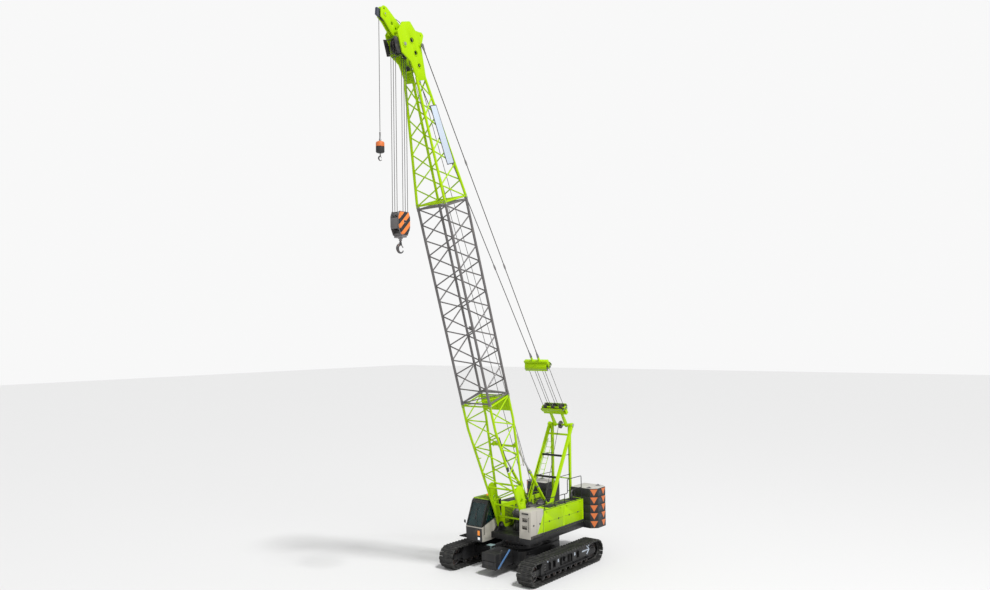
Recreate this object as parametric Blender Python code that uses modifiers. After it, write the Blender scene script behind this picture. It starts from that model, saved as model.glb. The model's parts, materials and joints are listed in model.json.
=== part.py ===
"""Lattice-boom crawler crane, full size, in metres.

+X is forward, the way the boom leans, +Y is the machine's left and +Z is up.
The slew axis stands at x = 0 of the machine frame. An empty shifts the whole
machine back along X so that the origin lies under the middle of its box.
"""
import bpy
import bmesh
from math import atan2, cos, pi, radians, sin
from mathutils import Matrix, Vector

# --- fits ---------------------------------------------------------------
SEAT = 0.0003            # gap between faces that rest on each other
HUB_GAP = 0.0005         # side gap at a pin's hub
PIN_CLEARANCE = 0.003    # radial gap round a turning pin
SWING_GAP = 0.006        # gap round doors and other swinging pieces
BITE = 0.02              # overlap of pieces welded into one

# --- crawlers and carbody -----------------------------------------------
GAUGE = 4.44             # between the middles of the two tracks
SHOE_WIDTH = 0.78
TUMBLER_SPACING = 5.0    # idler axle to sprocket axle
TRACK_HEIGHT = 1.06
TRACK_THICKNESS = 0.12   # shoe, grouser and link together
GROUSER = 0.03
SHOE_COUNT = 62
WHEEL_WIDTH = 0.22
AXLE_RADIUS = 0.05
TRACK_FRAME_WIDTH = 0.46
TRACK_FRAME_BOTTOM = 0.30
ROLLER_COUNT = 9
ROLLER_RADIUS = 0.10
BEAM_SPACING = 1.96      # between the two cross beams of the carbody
BEAM_WIDTH = 0.27
BEAM_BOTTOM = 0.475
BEAM_HEIGHT = 0.37
BEAM_CLEARANCE = 0.006
CARBODY_LENGTH = 2.60
CARBODY_WIDTH = 2.0
CARBODY_BOTTOM = 0.40
CARBODY_TOP = 0.98
PEDESTAL_RADIUS = 0.95
PEDESTAL_TOP = 1.10
WEIGHT_LENGTH = 1.30     # front and rear carbody weights
WEIGHT_WIDTH = 0.80
WEIGHT_BOTTOM = 0.36
WEIGHT_TOP = 1.06

# --- revolving frame ----------------------------------------------------
SLEW_RING_RADIUS = 0.80
SLEW_RING_BORE = 0.55
DECK_BOTTOM = 1.39
DECK_TOP = 1.66
DECK_REAR = -3.09
DECK_FRONT = 1.25
DECK_SIDE = 1.50
HOUSING_INNER = 0.89
HOUSING_REAR = -3.08
HOUSING_SPLIT = 0.42     # where the left cover meets the left housing
HOUSING_TOP = 2.80
COVER_FRONT = 1.46
COVER_TOP = 2.92
PANEL = 0.04             # sheet walls and doors
DOOR_BOTTOM = 1.80
DOOR_TOP = 2.70
KNUCKLE = 0.016
HINGE_LENGTH = 0.12      # both knuckles of a door hinge
HINGE_INSET = 0.2        # from a housing door's end to its hinge
DOOR_MARGIN = 0.12       # wall left round the housing doors
COVER_STEPS = (2.08, 2.42)
STEP_SIZE = 0.16
ENGINE_REAR = -2.75
ENGINE_FRONT = -1.25
ENGINE_TOP = 2.45
SIDE_BEAM_INNER = 0.44
SIDE_BEAM_THICKNESS = 0.10
SIDE_BEAM_TOP = 2.05
SIDE_BEAM_REAR = -3.85
DRUM_X = (-0.30, -1.22, -2.14)
DRUM_Z = 2.28
DRUM_RADIUS = 0.29
FLANGE_RADIUS = 0.41
DRUM_SHAFT = 0.05

# --- counterweight ------------------------------------------------------
SLAB_COUNT = 5           # the tray and four slabs a side
SLAB_HEIGHT = 0.385
COUNTERWEIGHT_BOTTOM = 1.35
COUNTERWEIGHT_FRONT = -3.14
COUNTERWEIGHT_LENGTH = 1.28
COUNTERWEIGHT_WIDTH = 4.26
STACK_INNER = 0.75
CORNER = 0.28            # cut off the slabs' outer corners
GROOVE = 0.012

# --- handrail and walkway -----------------------------------------------
RAIL_RADIUS = 0.02
RAIL_FRONT = 0.20
RAIL_STEP = -1.50        # where the low rail ends
RAIL_REAR = -3.0
LOW_RAIL = 0.45          # above the housing
HIGH_RAIL = 1.10
WALKWAY_REAR = -2.2
WALKWAY_WIDTH = 0.42
WALKWAY_THICKNESS = 0.04
WALKWAY_BRACKETS = (-2.0, -1.0, -0.1)

# --- cab ----------------------------------------------------------------
CAB_INNER = 0.90         # distance of the cab's inner wall from the middle
CAB_WIDTH = 0.95
CAB_REAR = 0.42
CAB_FRONT = 1.93
CAB_BOTTOM = 1.28
CAB_TOP = 3.12
CAB_WAIST = 1.93
CAB_WALL = 0.05
GLASS = 0.012
SHIELD_TOP_X = 1.46      # upper edge of the sloping windshield
BROW = 0.08              # from there up to the roof
SHIELD_MARGIN = 0.03     # pillar beside the windshield, past the wall
WINDOW_REAR = 0.60       # inner side window
WINDOW_FRONT = 1.70
WINDOW_SHOULDER = 1.34
WINDOW_TOP = 2.94
WINDOW_REAR_SILL = 2.33
WINDOW_FRONT_SILL = 2.02
CAB_DOOR_REAR = 0.62
CAB_DOOR_FRONT = 1.70
CAB_DOOR_SHOULDER = 1.36
CAB_DOOR_BOTTOM = 1.42
CAB_DOOR_WAIST = 2.05
CAB_DOOR_TOP = 2.96
CAB_HINGE_LEVELS = (1.70, 2.60)
PANE_REAR = 0.72         # glass of the cab door
PANE_FRONT = 1.58
PANE_SHOULDER = 1.29
PANE_SILL = 2.10
PANE_TOP = 2.88

# --- boom ---------------------------------------------------------------
BOOM_PIN_X = 0.70
BOOM_PIN_Z = 1.905
LUFF_ANGLE = radians(72.0)
BOOM_PIN_RADIUS = 0.06
FOOT_LENGTH = 6.39
MIDDLE_LENGTH = 9.0
TOP_LENGTH = 5.21        # to the bottom of the head plates
CHORD_Y = 0.78
CHORD_N = 0.70
CHORD_RADIUS = 0.058
FOOT_TAPER_START = 0.8
FOOT_TAPER_END = 5.2
FOOT_CHORD_N = 0.15
JOINT_STRAIGHT = 0.20    # straight chord above the upper joint
LACING_RADIUS = 0.030
LACING_PITCH = 0.6925    # one diagonal's step along the boom
FOOT_PLATE_INNER = 0.74
FOOT_PLATE = 0.08
HEAD_CHORD_Y = 0.33
HEAD_CHORD_N = 0.25
HEAD_PLATE_INNER = 0.30
HEAD_PLATE = 0.06
HEAD_SHEAVE_RISE = 1.34  # beyond the top section's end
HEAD_SHEAVE_N = -0.55
TIP_SHEAVE_RISE = 2.58
TIP_SHEAVE_N = -1.04
PENDANT_RISE = 1.22
PENDANT_N = 0.41
PENDANT_Y = 0.44
BACKSTOP_S = 3.90
BACKSTOP_N = 0.78

# --- ropes and sheaves --------------------------------------------------
ROPE = 0.013
SHEAVE_PITCH = 0.13
MAIN_ROPE_RADIUS = 0.30  # rope line round head and block sheaves
TIP_ROPE_RADIUS = 0.23
LUFF_ROPE_RADIUS = 0.19
RIM = 0.028              # how far a sheave's rim stands above the rope line

# --- gantry and stays ---------------------------------------------------
GANTRY_X = -3.48
GANTRY_Z = 6.28
GANTRY_PIN = 0.05
GANTRY_LEG_INNER = 0.60
GANTRY_LEG = 0.12
GANTRY_FOOT_X = -1.0
GANTRY_LEG_DEPTH = 0.15
GANTRY_EYE = 0.12        # radius of the rounded leg tops
GANTRY_TIE = 0.09        # square bars between the front legs
GANTRY_TIES = (0.10, 0.32, 0.54)
GANTRY_COLLAR = 0.04
REAR_LEG = 0.09
REAR_TIE_Z = 3.6
BACKSTOP_PIN = 0.035
BLOCK_SHEAVE_D = 1.09    # from the gantry pin along the stay line
BRIDLE_SHEAVE_D = 3.59
BRIDLE_TIP_D = 4.15
STAY_SHEAVE_Y = 0.46
STAY_WIDTH = 1.36
STAY_PLATE = 0.05
STAY_PIN = 0.04
GANTRY_ARM = 0.30        # the upper spreader's arms at the gantry pin
GANTRY_ARM_PLATE = 0.06
BRIDLE_LUG_Y = 0.205
PENDANT_SEAT = 0.0008    # the pendants leave the lugs at a slight angle
BACKSTOP_PIVOT_X = -1.35
BACKSTOP_PIVOT_Z = 2.65
BACKSTOP_Y = 0.525
BARREL_RADIUS = 0.068
BARREL_LENGTH = 2.35
ROD_RADIUS = 0.042
ROD_LENGTH = 3.10

# --- hooks --------------------------------------------------------------
BLOCK_SHEAVE_Z = 15.45
BLOCK_HALF_LENGTH = 0.36
BLOCK_HALF_WIDTH = 0.26
BLOCK_BOTTOM = 14.77
BLOCK_TOP = 15.88
HOOK_RADIUS = 0.17
AUX_SOCKET_Z = 18.90
AUX_WEIGHT_TOP = 18.50
AUX_WEIGHT_BOTTOM = 18.06
AUX_WEIGHT_RADIUS = 0.17

MACHINE_SHIFT = -2.416   # brings the middle of the box over the origin

# --- worked out ---------------------------------------------------------
TRACK_RADIUS = TRACK_HEIGHT / 2
HALF_SPACING = TUMBLER_SPACING / 2
INNER_RADIUS = TRACK_RADIUS - TRACK_THICKNESS
COUNTERWEIGHT_REAR = COUNTERWEIGHT_FRONT - COUNTERWEIGHT_LENGTH
TRAY_TOP = COUNTERWEIGHT_BOTTOM + SLAB_HEIGHT
MIDDLE_END = FOOT_LENGTH + MIDDLE_LENGTH
TOP_END = MIDDLE_END + TOP_LENGTH
HEAD_SHEAVE_S = TOP_END + HEAD_SHEAVE_RISE
TIP_SHEAVE_S = TOP_END + TIP_SHEAVE_RISE
PENDANT_S = TOP_END + PENDANT_RISE
BOOM_PIN = Vector((BOOM_PIN_X, 0, BOOM_PIN_Z))
BOOM_TURN = Matrix.Rotation(-LUFF_ANGLE, 4, "Y")


def boom_point(s, y, n):
    """A machine-frame point from one along, beside and behind the boom."""
    return BOOM_PIN + BOOM_TURN @ Vector((s, y, n))


HEAD_AXIS = boom_point(HEAD_SHEAVE_S, 0, HEAD_SHEAVE_N)
TIP_AXIS = boom_point(TIP_SHEAVE_S, 0, TIP_SHEAVE_N)
PENDANT_EYE = boom_point(PENDANT_S, 0, PENDANT_N)
BACKSTOP_EYE = boom_point(BACKSTOP_S, 0, BACKSTOP_N)
GANTRY_TOP = Vector((GANTRY_X, 0, GANTRY_Z))
STAY = PENDANT_EYE - GANTRY_TOP
STAY_LENGTH = STAY.length
STAY_ANGLE = atan2(STAY.z, STAY.x)
BACKSTOP_PIVOT = Vector((BACKSTOP_PIVOT_X, 0, BACKSTOP_PIVOT_Z))
BACKSTOP_LINE = BACKSTOP_EYE - BACKSTOP_PIVOT
BACKSTOP_ANGLE = atan2(BACKSTOP_LINE.z, BACKSTOP_LINE.x)

PAINT = {
    "green": ((0.37, 0.67, 0.01, 1), 0.35, 0.0),
    "grey": ((0.48, 0.46, 0.40, 1), 0.45, 0.0),
    "dark": ((0.05, 0.05, 0.055, 1), 0.5, 0.0),
    "boom_grey": ((0.16, 0.145, 0.145, 1), 0.45, 0.0),
    "steel": ((0.25, 0.25, 0.26, 1), 0.4, 0.9),
    "orange": ((0.8, 0.2, 0.04, 1), 0.45, 0.0),
    "rope": ((0.12, 0.12, 0.12, 1), 0.5, 0.7),
    "glass": ((0.02, 0.12, 0.10, 0.5), 0.05, 0.0),
    "seat": ((0.03, 0.03, 0.03, 1), 0.8, 0.0),
}


def clear_scene():
    for item in list(bpy.data.objects):
        bpy.data.objects.remove(item, do_unlink=True)


def paint(name):
    found = bpy.data.materials.get(name)
    if found:
        return found
    colour, roughness, metallic = PAINT[name]
    made = bpy.data.materials.new(name)
    made.use_nodes = True
    shader = made.node_tree.nodes["Principled BSDF"]
    shader.inputs["Base Color"].default_value = colour
    shader.inputs["Roughness"].default_value = roughness
    shader.inputs["Metallic"].default_value = metallic
    return made


# --- shapes -------------------------------------------------------------
def shape(mesh):
    item = bpy.data.objects.new("shape", mesh)
    bpy.context.scene.collection.objects.link(item)
    return item


def from_bmesh(work):
    mesh = bpy.data.meshes.new("shape")
    work.to_mesh(mesh)
    work.free()
    return shape(mesh)


def block(x0, x1, y0, y1, z0, z1, bevel=0.0):
    work = bmesh.new()
    bmesh.ops.create_cube(work, size=1)
    size = (x1 - x0, y1 - y0, z1 - z0)
    middle = ((x0 + x1) / 2, (y0 + y1) / 2, (z0 + z1) / 2)
    bmesh.ops.scale(work, vec=size, verts=work.verts)
    bmesh.ops.translate(work, vec=middle, verts=work.verts)
    if bevel:
        bmesh.ops.bevel(work, geom=work.edges[:], offset=bevel, segments=1,
                        affect="EDGES")
    return from_bmesh(work)


def rod(start, end, radius, sides=12):
    start = Vector(start)
    end = Vector(end)
    along = end - start
    work = bmesh.new()
    bmesh.ops.create_cone(work, cap_ends=True, segments=sides, radius1=radius,
                          radius2=radius, depth=along.length)
    turn = along.to_track_quat("Z", "Y").to_matrix().to_4x4()
    place = Matrix.Translation((start + end) / 2) @ turn
    bmesh.ops.transform(work, matrix=place, verts=work.verts)
    return from_bmesh(work)


def bar(start, end, width, height):
    """A square tube between two points, its width level with the ground."""
    start = Vector(start)
    end = Vector(end)
    along = end - start
    work = bmesh.new()
    bmesh.ops.create_cube(work, size=1)
    bmesh.ops.scale(work, vec=(width, height, along.length), verts=work.verts)
    forward = along.normalized()
    side = Vector((0, 1, 0)) if abs(forward.y) < 0.9 else Vector((1, 0, 0))
    other = forward.cross(side).normalized()
    side = other.cross(forward).normalized()
    turn = Matrix((side, other, forward)).transposed().to_4x4()
    place = Matrix.Translation((start + end) / 2) @ turn
    bmesh.ops.transform(work, matrix=place, verts=work.verts)
    return from_bmesh(work)


def ring_points(x, z, radius, sides, start=0.0, sweep=2 * pi):
    count = sides if abs(sweep - 2 * pi) < 1e-6 else sides + 1
    return [(x + radius * cos(start + sweep * i / sides),
             z + radius * sin(start + sweep * i / sides)) for i in range(count)]


def wrap(radius, start, sweep, steps):
    """Points of a rope laid round a sheave, its straight bits clear of the root."""
    reach = radius / cos(sweep / steps / 2)
    return [(reach * cos(start + sweep * k / steps),
             reach * sin(start + sweep * k / steps)) for k in range(steps + 1)]


def curve_mesh(curve):
    guide = bpy.data.objects.new("guide", curve)
    bpy.context.scene.collection.objects.link(guide)
    view = bpy.context.evaluated_depsgraph_get()
    mesh = bpy.data.meshes.new_from_object(guide.evaluated_get(view))
    work = bmesh.new()
    work.from_mesh(mesh)
    bmesh.ops.remove_doubles(work, verts=work.verts, dist=0.00001)
    bmesh.ops.recalc_face_normals(work, faces=work.faces)
    work.to_mesh(mesh)
    work.free()
    bpy.data.objects.remove(guide)
    return mesh


def plate(outlines, low, high, axis="Y"):
    """Flat outlines, the first solid and the rest holes, given a thickness.

    The outlines lie in XZ when the thickness runs along Y, in XY along Z,
    and in YZ along X.
    """
    curve = bpy.data.curves.new("outline", "CURVE")
    curve.dimensions = "2D"
    curve.fill_mode = "BOTH"
    curve.extrude = (high - low) / 2
    for outline in outlines:
        spline = curve.splines.new("POLY")
        spline.points.add(len(outline) - 1)
        for point, (u, v) in zip(spline.points, outline):
            point.co = (u, v, 0, 1)
        spline.use_cyclic_u = True
    mesh = curve_mesh(curve)
    middle = (low + high) / 2
    if axis == "Y":
        turn = Matrix.Rotation(pi / 2, 4, "X")
        mesh.transform(Matrix.Translation((0, middle, 0)) @ turn)
    elif axis == "X":
        turn = Matrix(((0, 0, 1, middle), (1, 0, 0, 0), (0, 1, 0, 0), (0, 0, 0, 1)))
        mesh.transform(turn)
    else:
        mesh.transform(Matrix.Translation((0, 0, middle)))
    return shape(mesh)


def pipe(points, radius, resolution=1, radii=None):
    curve = bpy.data.curves.new("pipe", "CURVE")
    curve.dimensions = "3D"
    curve.bevel_depth = radius
    curve.bevel_resolution = resolution
    curve.use_fill_caps = True
    spline = curve.splines.new("POLY")
    spline.points.add(len(points) - 1)
    for i, (point, place) in enumerate(zip(spline.points, points)):
        point.co = (*place, 1)
        point.radius = radii[i] if radii else 1.0
    return shape(curve_mesh(curve))


def turned(profile, sides, axis="Z"):
    """A closed profile of (radius, height) pairs turned about an axis."""
    mesh = bpy.data.meshes.new("profile")
    count = len(profile)
    points = [(r, 0, h) for r, h in profile]
    edges = [(i, (i + 1) % count) for i in range(count)]
    mesh.from_pydata(points, edges, [])
    item = shape(mesh)
    screw = item.modifiers.new("turn", "SCREW")
    screw.steps = sides
    screw.render_steps = sides
    screw.use_merge_vertices = True
    screw.merge_threshold = 0.00001
    item = settled(item)
    fix_normals(item)
    if axis == "Y":
        item.data.transform(Matrix.Rotation(pi / 2, 4, "X"))
    return item


def fix_normals(item):
    work = bmesh.new()
    work.from_mesh(item.data)
    bmesh.ops.recalc_face_normals(work, faces=work.faces)
    work.to_mesh(item.data)
    work.free()


def settled(item):
    """Applies an item's modifiers."""
    view = bpy.context.evaluated_depsgraph_get()
    mesh = bpy.data.meshes.new_from_object(item.evaluated_get(view))
    item.modifiers.clear()
    item.data = mesh
    return item


def combine(base, others, operation):
    if not others:
        return base
    group = bpy.data.collections.new("operands")
    bpy.context.scene.collection.children.link(group)
    for other in others:
        group.objects.link(other)
    change = base.modifiers.new("combine", "BOOLEAN")
    change.operation = operation
    change.operand_type = "COLLECTION"
    change.collection = group
    change.solver = "EXACT"
    settled(base)
    for other in others:
        bpy.data.objects.remove(other)
    bpy.data.collections.remove(group)
    return base


def weld(pieces):
    return combine(pieces[0], pieces[1:], "UNION")


def carve(item, cutters):
    return combine(item, cutters, "DIFFERENCE")


def moved(item, x=0.0, y=0.0, z=0.0):
    item.data.transform(Matrix.Translation((x, y, z)))
    return item


def tilted(item, angle, pivot):
    """Turns a piece drawn along +X up to the given angle, about a pivot."""
    turn = Matrix.Translation(pivot) @ Matrix.Rotation(-angle, 4, "Y")
    item.data.transform(turn)
    return item


def mirrored(item):
    """The same shape on the other side of the machine's middle."""
    copy = shape(item.data.copy())
    copy.data.transform(Matrix.Scale(-1, 4, (0, 1, 0)))
    copy.data.flip_normals()
    return copy


# --- placing ------------------------------------------------------------
def joint_empty(name, place, parent=None):
    empty = bpy.data.objects.new(name, None)
    bpy.context.scene.collection.objects.link(empty)
    empty["place"] = tuple(place)
    empty.location = Vector(place)
    if parent:
        empty.parent = parent
        empty.location = Vector(place) - Vector(parent["place"])
    return empty


def part(name, item, finish, parent):
    """Names a finished piece, paints it and hangs it on its joint's axis."""
    item.name = name
    item.data.name = name
    item.data.materials.clear()
    item.data.materials.append(paint(finish))
    origin = Vector(parent["place"])
    item.data.transform(Matrix.Translation(-origin))
    item.parent = parent
    for group in list(item.users_collection):
        group.objects.unlink(item)
    parts.objects.link(item)
    item.data.shade_smooth()
    item.data.set_sharp_from_angle(angle=radians(35))
    return item


# --- undercarriage ------------------------------------------------------
def carbody():
    half_l = CARBODY_LENGTH / 2
    half_w = CARBODY_WIDTH / 2
    cut = 0.25
    outline = [(half_l, half_w - cut), (half_l - cut, half_w),
               (cut - half_l, half_w), (-half_l, half_w - cut),
               (-half_l, cut - half_w), (cut - half_l, -half_w),
               (half_l - cut, -half_w), (half_l, cut - half_w)]
    pieces = [plate([outline], CARBODY_BOTTOM, CARBODY_TOP, "Z")]
    pieces.append(rod((0, 0, CARBODY_TOP - BITE), (0, 0, PEDESTAL_TOP),
                      PEDESTAL_RADIUS, 24))
    reach = GAUGE / 2 + TRACK_FRAME_WIDTH / 2
    for x in (-BEAM_SPACING / 2, BEAM_SPACING / 2):
        pieces.append(block(x - BEAM_WIDTH / 2, x + BEAM_WIDTH / 2, -reach, reach,
                            BEAM_BOTTOM, BEAM_BOTTOM + BEAM_HEIGHT))
    return weld(pieces)


def slew_ring():
    return turned([(SLEW_RING_BORE, PEDESTAL_TOP + SEAT),
                   (SLEW_RING_RADIUS, PEDESTAL_TOP + SEAT),
                   (SLEW_RING_RADIUS, DECK_BOTTOM - SEAT),
                   (SLEW_RING_BORE, DECK_BOTTOM - SEAT)], 24)


def carbody_weight(side):
    near = CARBODY_LENGTH / 2 + SEAT
    far = near + WEIGHT_LENGTH
    low, high = (near, far) if side > 0 else (-far, -near)
    half = WEIGHT_WIDTH / 2
    return block(low, high, -half, half, WEIGHT_BOTTOM, WEIGHT_TOP, 0.03)


def loop_point(distance, offset, radius):
    """A point on the track's loop, measured from the front of the top run."""
    r = radius + offset
    straight = TUMBLER_SPACING
    turn = pi * radius
    distance %= 2 * (straight + turn)
    if distance < straight:
        return HALF_SPACING - distance, TRACK_RADIUS + r
    distance -= straight
    if distance < turn:
        angle = pi / 2 + distance / radius
        return -HALF_SPACING + r * cos(angle), TRACK_RADIUS + r * sin(angle)
    distance -= turn
    if distance < straight:
        return -HALF_SPACING + distance, TRACK_RADIUS - r
    angle = -pi / 2 + (distance - straight) / radius
    return HALF_SPACING + r * cos(angle), TRACK_RADIUS + r * sin(angle)


def track():
    """A fixed loop with its shoes in its outline."""
    base = TRACK_RADIUS - GROUSER
    length = 2 * (TUMBLER_SPACING + pi * base)
    step = length / SHOE_COUNT
    bar_share = 0.42
    outer = []
    for i in range(SHOE_COUNT):
        start = i * step
        outer.append(loop_point(start, 0, base))
        outer.append(loop_point(start + 0.04 * step, GROUSER, base))
        outer.append(loop_point(start + bar_share * step, GROUSER, base))
        outer.append(loop_point(start + (bar_share + 0.04) * step, 0, base))
    inner = ring_points(HALF_SPACING, TRACK_RADIUS, INNER_RADIUS, 12, -pi / 2, pi)
    inner += ring_points(-HALF_SPACING, TRACK_RADIUS, INNER_RADIUS, 12, pi / 2, pi)
    half = SHOE_WIDTH / 2
    return plate([outer, inner], GAUGE / 2 - half, GAUGE / 2 + half)


def track_frame():
    middle = GAUGE / 2
    half = TRACK_FRAME_WIDTH / 2
    top = 2 * TRACK_RADIUS - TRACK_THICKNESS - 0.02
    end = HALF_SPACING - INNER_RADIUS - 0.05
    outline = [(-end + 0.1, TRACK_FRAME_BOTTOM), (end - 0.1, TRACK_FRAME_BOTTOM),
               (end, 0.42), (end, 0.70), (end - 0.15, top),
               (0.15 - end, top), (-end, 0.70), (-end, 0.42)]
    holes = []
    for x in (-BEAM_SPACING / 2, BEAM_SPACING / 2):
        x0 = x - BEAM_WIDTH / 2 - BEAM_CLEARANCE
        x1 = x + BEAM_WIDTH / 2 + BEAM_CLEARANCE
        z0 = BEAM_BOTTOM - SEAT
        z1 = BEAM_BOTTOM + BEAM_HEIGHT + BEAM_CLEARANCE
        holes.append([(x0, z0), (x1, z0), (x1, z1), (x0, z1)])
    pieces = [plate([outline] + holes, middle - half, middle + half)]
    for side in (-1, 1):
        for y0 in (WHEEL_WIDTH / 2 + 0.01, -WHEEL_WIDTH / 2 - 0.07):
            x = side * (end - 0.1)
            tip = side * (HALF_SPACING + 0.10)
            pieces.append(block(min(x, tip), max(x, tip), middle + y0,
                                middle + y0 + 0.06, TRACK_RADIUS - 0.10,
                                TRACK_RADIUS + 0.10))
        reach = WHEEL_WIDTH / 2 + 0.05
        pieces.append(rod((side * HALF_SPACING, middle - reach, TRACK_RADIUS),
                          (side * HALF_SPACING, middle + reach, TRACK_RADIUS),
                          AXLE_RADIUS, 16))
    spacing = 2 * (end - 0.25) / (ROLLER_COUNT - 1)
    height = TRACK_THICKNESS + ROLLER_RADIUS + SEAT
    for i in range(ROLLER_COUNT):
        x = -(end - 0.25) + i * spacing
        pieces.append(rod((x, middle - 0.19, height), (x, middle + 0.19, height),
                          ROLLER_RADIUS, 10))
    return weld(pieces)


def track_wheel(side):
    radius = INNER_RADIUS * cos(pi / 24) - SEAT
    half = WHEEL_WIDTH / 2
    web = half - 0.04
    item = turned([(AXLE_RADIUS + SEAT, -half), (0.16, -web), (radius - 0.05, -web),
                   (radius, -half), (radius, half), (radius - 0.05, web),
                   (0.16, web), (AXLE_RADIUS + SEAT, half)], 16, "Y")
    return moved(item, side * HALF_SPACING, GAUGE / 2, TRACK_RADIUS)


# --- upperworks ---------------------------------------------------------
def revolving_frame():
    edge = DECK_SIDE
    deck = [(DECK_REAR, -edge), (CAB_REAR - 0.05, -edge),
            (CAB_REAR - 0.05, -CAB_INNER + 0.02), (DECK_FRONT, -CAB_INNER + 0.02),
            (DECK_FRONT, HOUSING_INNER - 0.02), (COVER_FRONT, HOUSING_INNER - 0.02),
            (COVER_FRONT, edge), (DECK_REAR, edge)]
    pieces = [plate([deck], DECK_BOTTOM, DECK_TOP, "Z")]
    inner = SIDE_BEAM_INNER + HUB_GAP
    outer = inner + SIDE_BEAM_THICKNESS
    arm = TRAY_TOP + SEAT
    outline = [(SIDE_BEAM_REAR, arm), (DECK_REAR + 0.006, arm),
               (DECK_REAR + 0.006, DECK_TOP - BITE),
               (0.0, DECK_TOP - BITE)]
    for x in DRUM_X:
        outline += [(x + 0.20, SIDE_BEAM_TOP), (x + 0.12, DRUM_Z + 0.13),
                    (x - 0.12, DRUM_Z + 0.13), (x - 0.20, SIDE_BEAM_TOP)]
    outline.append((SIDE_BEAM_REAR, SIDE_BEAM_TOP))
    holes = [ring_points(x, DRUM_Z, DRUM_SHAFT + PIN_CLEARANCE, 16) for x in DRUM_X]
    for low, high in ((inner, outer), (-outer, -inner)):
        pieces.append(plate([outline] + holes, low, high))
    foot = [(BOOM_PIN_X - 0.38, DECK_TOP - BITE), (BOOM_PIN_X + 0.38, DECK_TOP - BITE)]
    foot += ring_points(BOOM_PIN_X, BOOM_PIN_Z, 0.15, 8, 0, pi)
    plate_low = FOOT_PLATE_INNER - HUB_GAP
    plate_high = FOOT_PLATE_INNER + FOOT_PLATE + HUB_GAP
    for side in (-1, 1):
        for y0, y1 in ((plate_low - 0.07, plate_low), (plate_high, plate_high + 0.045)):
            low, high = sorted((side * y0, side * y1))
            pieces.append(plate([foot], low, high))
        low, high = sorted((side * (plate_low - 0.05), side * (plate_high + 0.03)))
        pieces.append(rod((BOOM_PIN_X, low, BOOM_PIN_Z), (BOOM_PIN_X, high, BOOM_PIN_Z),
                          BOOM_PIN_RADIUS, 24))
    return weld(pieces)


def hinge_axis(side):
    """Where the top-hinged housing doors turn: y and z."""
    return side * (DECK_SIDE + KNUCKLE + HUB_GAP), DOOR_TOP + KNUCKLE - 0.004


def hinge_knuckle(x0, x1, fixed):
    """One knuckle of a door's top hinge, with its leaf, on the left side."""
    y, z = hinge_axis(1)
    pin = rod((x0, y, z), (x1, y, z), KNUCKLE, 12)
    if fixed:
        return [pin, block(x0, x1, DECK_SIDE - 0.01, y, z, z + KNUCKLE - 0.001)]
    leaf = block(x0, x1, DECK_SIDE + HUB_GAP, y - 0.004, DOOR_TOP - 0.05, z)
    seat = block(x0 + 0.002, x1 - 0.002, DECK_SIDE - 0.01, y - 0.006,
                 DOOR_TOP - 0.048, DOOR_TOP - 0.012)
    return [pin, leaf, seat]


def door_spans(doors):
    """The x ranges of the door openings in a housing's outer wall."""
    low = HOUSING_REAR + DOOR_MARGIN
    high = HOUSING_SPLIT - DOOR_MARGIN
    width = (high - low - DOOR_MARGIN * (doors - 1)) / doors
    return [(low + i * (width + DOOR_MARGIN), low + i * (width + DOOR_MARGIN) + width)
            for i in range(doors)]


def housing(doors):
    """A hollow sheet housing, open below and at its door openings."""
    outer = block(HOUSING_REAR, HOUSING_SPLIT, HOUSING_INNER, DECK_SIDE,
                  DECK_TOP + SEAT, HOUSING_TOP)
    inside = block(HOUSING_REAR + PANEL, HOUSING_SPLIT - PANEL,
                   HOUSING_INNER + PANEL, DECK_SIDE - PANEL,
                   DECK_TOP - 0.1, HOUSING_TOP - PANEL)
    cutters = [inside]
    for x0, x1 in door_spans(doors):
        cutters.append(block(x0, x1, DECK_SIDE - 2 * PANEL, DECK_SIDE + 0.1,
                             DOOR_BOTTOM, DOOR_TOP))
    carve(outer, cutters)
    pieces = [outer]
    for x0, x1 in door_spans(doors):
        for x in (x0 + HINGE_INSET, x1 - HINGE_INSET):
            pieces += hinge_knuckle(x - HINGE_LENGTH / 2, x - HUB_GAP / 2, True)
    return weld(pieces)


def housing_door(x0, x1):
    low = DOOR_BOTTOM + SWING_GAP
    high = DOOR_TOP - SWING_GAP
    pieces = [block(x0 + SWING_GAP, x1 - SWING_GAP, DECK_SIDE - PANEL, DECK_SIDE,
                    low, high)]
    for x in (x0 + HINGE_INSET, x1 - HINGE_INSET):
        pieces += hinge_knuckle(x + HUB_GAP / 2, x + HINGE_LENGTH / 2, False)
    return weld(pieces)


def left_front_cover():
    top = COVER_TOP
    outline = [(HOUSING_SPLIT + SEAT, DECK_TOP + SEAT), (COVER_FRONT, DECK_TOP + SEAT),
               (COVER_FRONT - 0.05, top - 0.06), (COVER_FRONT - 0.11, top),
               (HOUSING_SPLIT + SEAT, top - 0.04)]
    item = plate([outline], HOUSING_INNER, DECK_SIDE + 0.02)
    steps = []
    for z in COVER_STEPS:
        steps.append(block(COVER_FRONT - STEP_SIZE, COVER_FRONT + 0.1,
                           HOUSING_INNER + 0.14, DECK_SIDE - 0.18, z, z + STEP_SIZE))
    return carve(item, steps)


def engine():
    return block(ENGINE_REAR, ENGINE_FRONT, HOUSING_INNER + 0.07, DECK_SIDE - 0.10,
                 DECK_TOP + SEAT, ENGINE_TOP, 0.03)


def slab_outline(inner, inset=0.0):
    """The left slab seen from above, its two outer corners cut off."""
    front = COUNTERWEIGHT_FRONT - inset
    rear = COUNTERWEIGHT_REAR + inset
    half = COUNTERWEIGHT_WIDTH / 2
    return [(front, inner + inset), (rear, inner + inset), (rear, half - CORNER),
            (COUNTERWEIGHT_REAR + CORNER, half - inset),
            (COUNTERWEIGHT_FRONT - CORNER, half - inset), (front, half - CORNER)]


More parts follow.
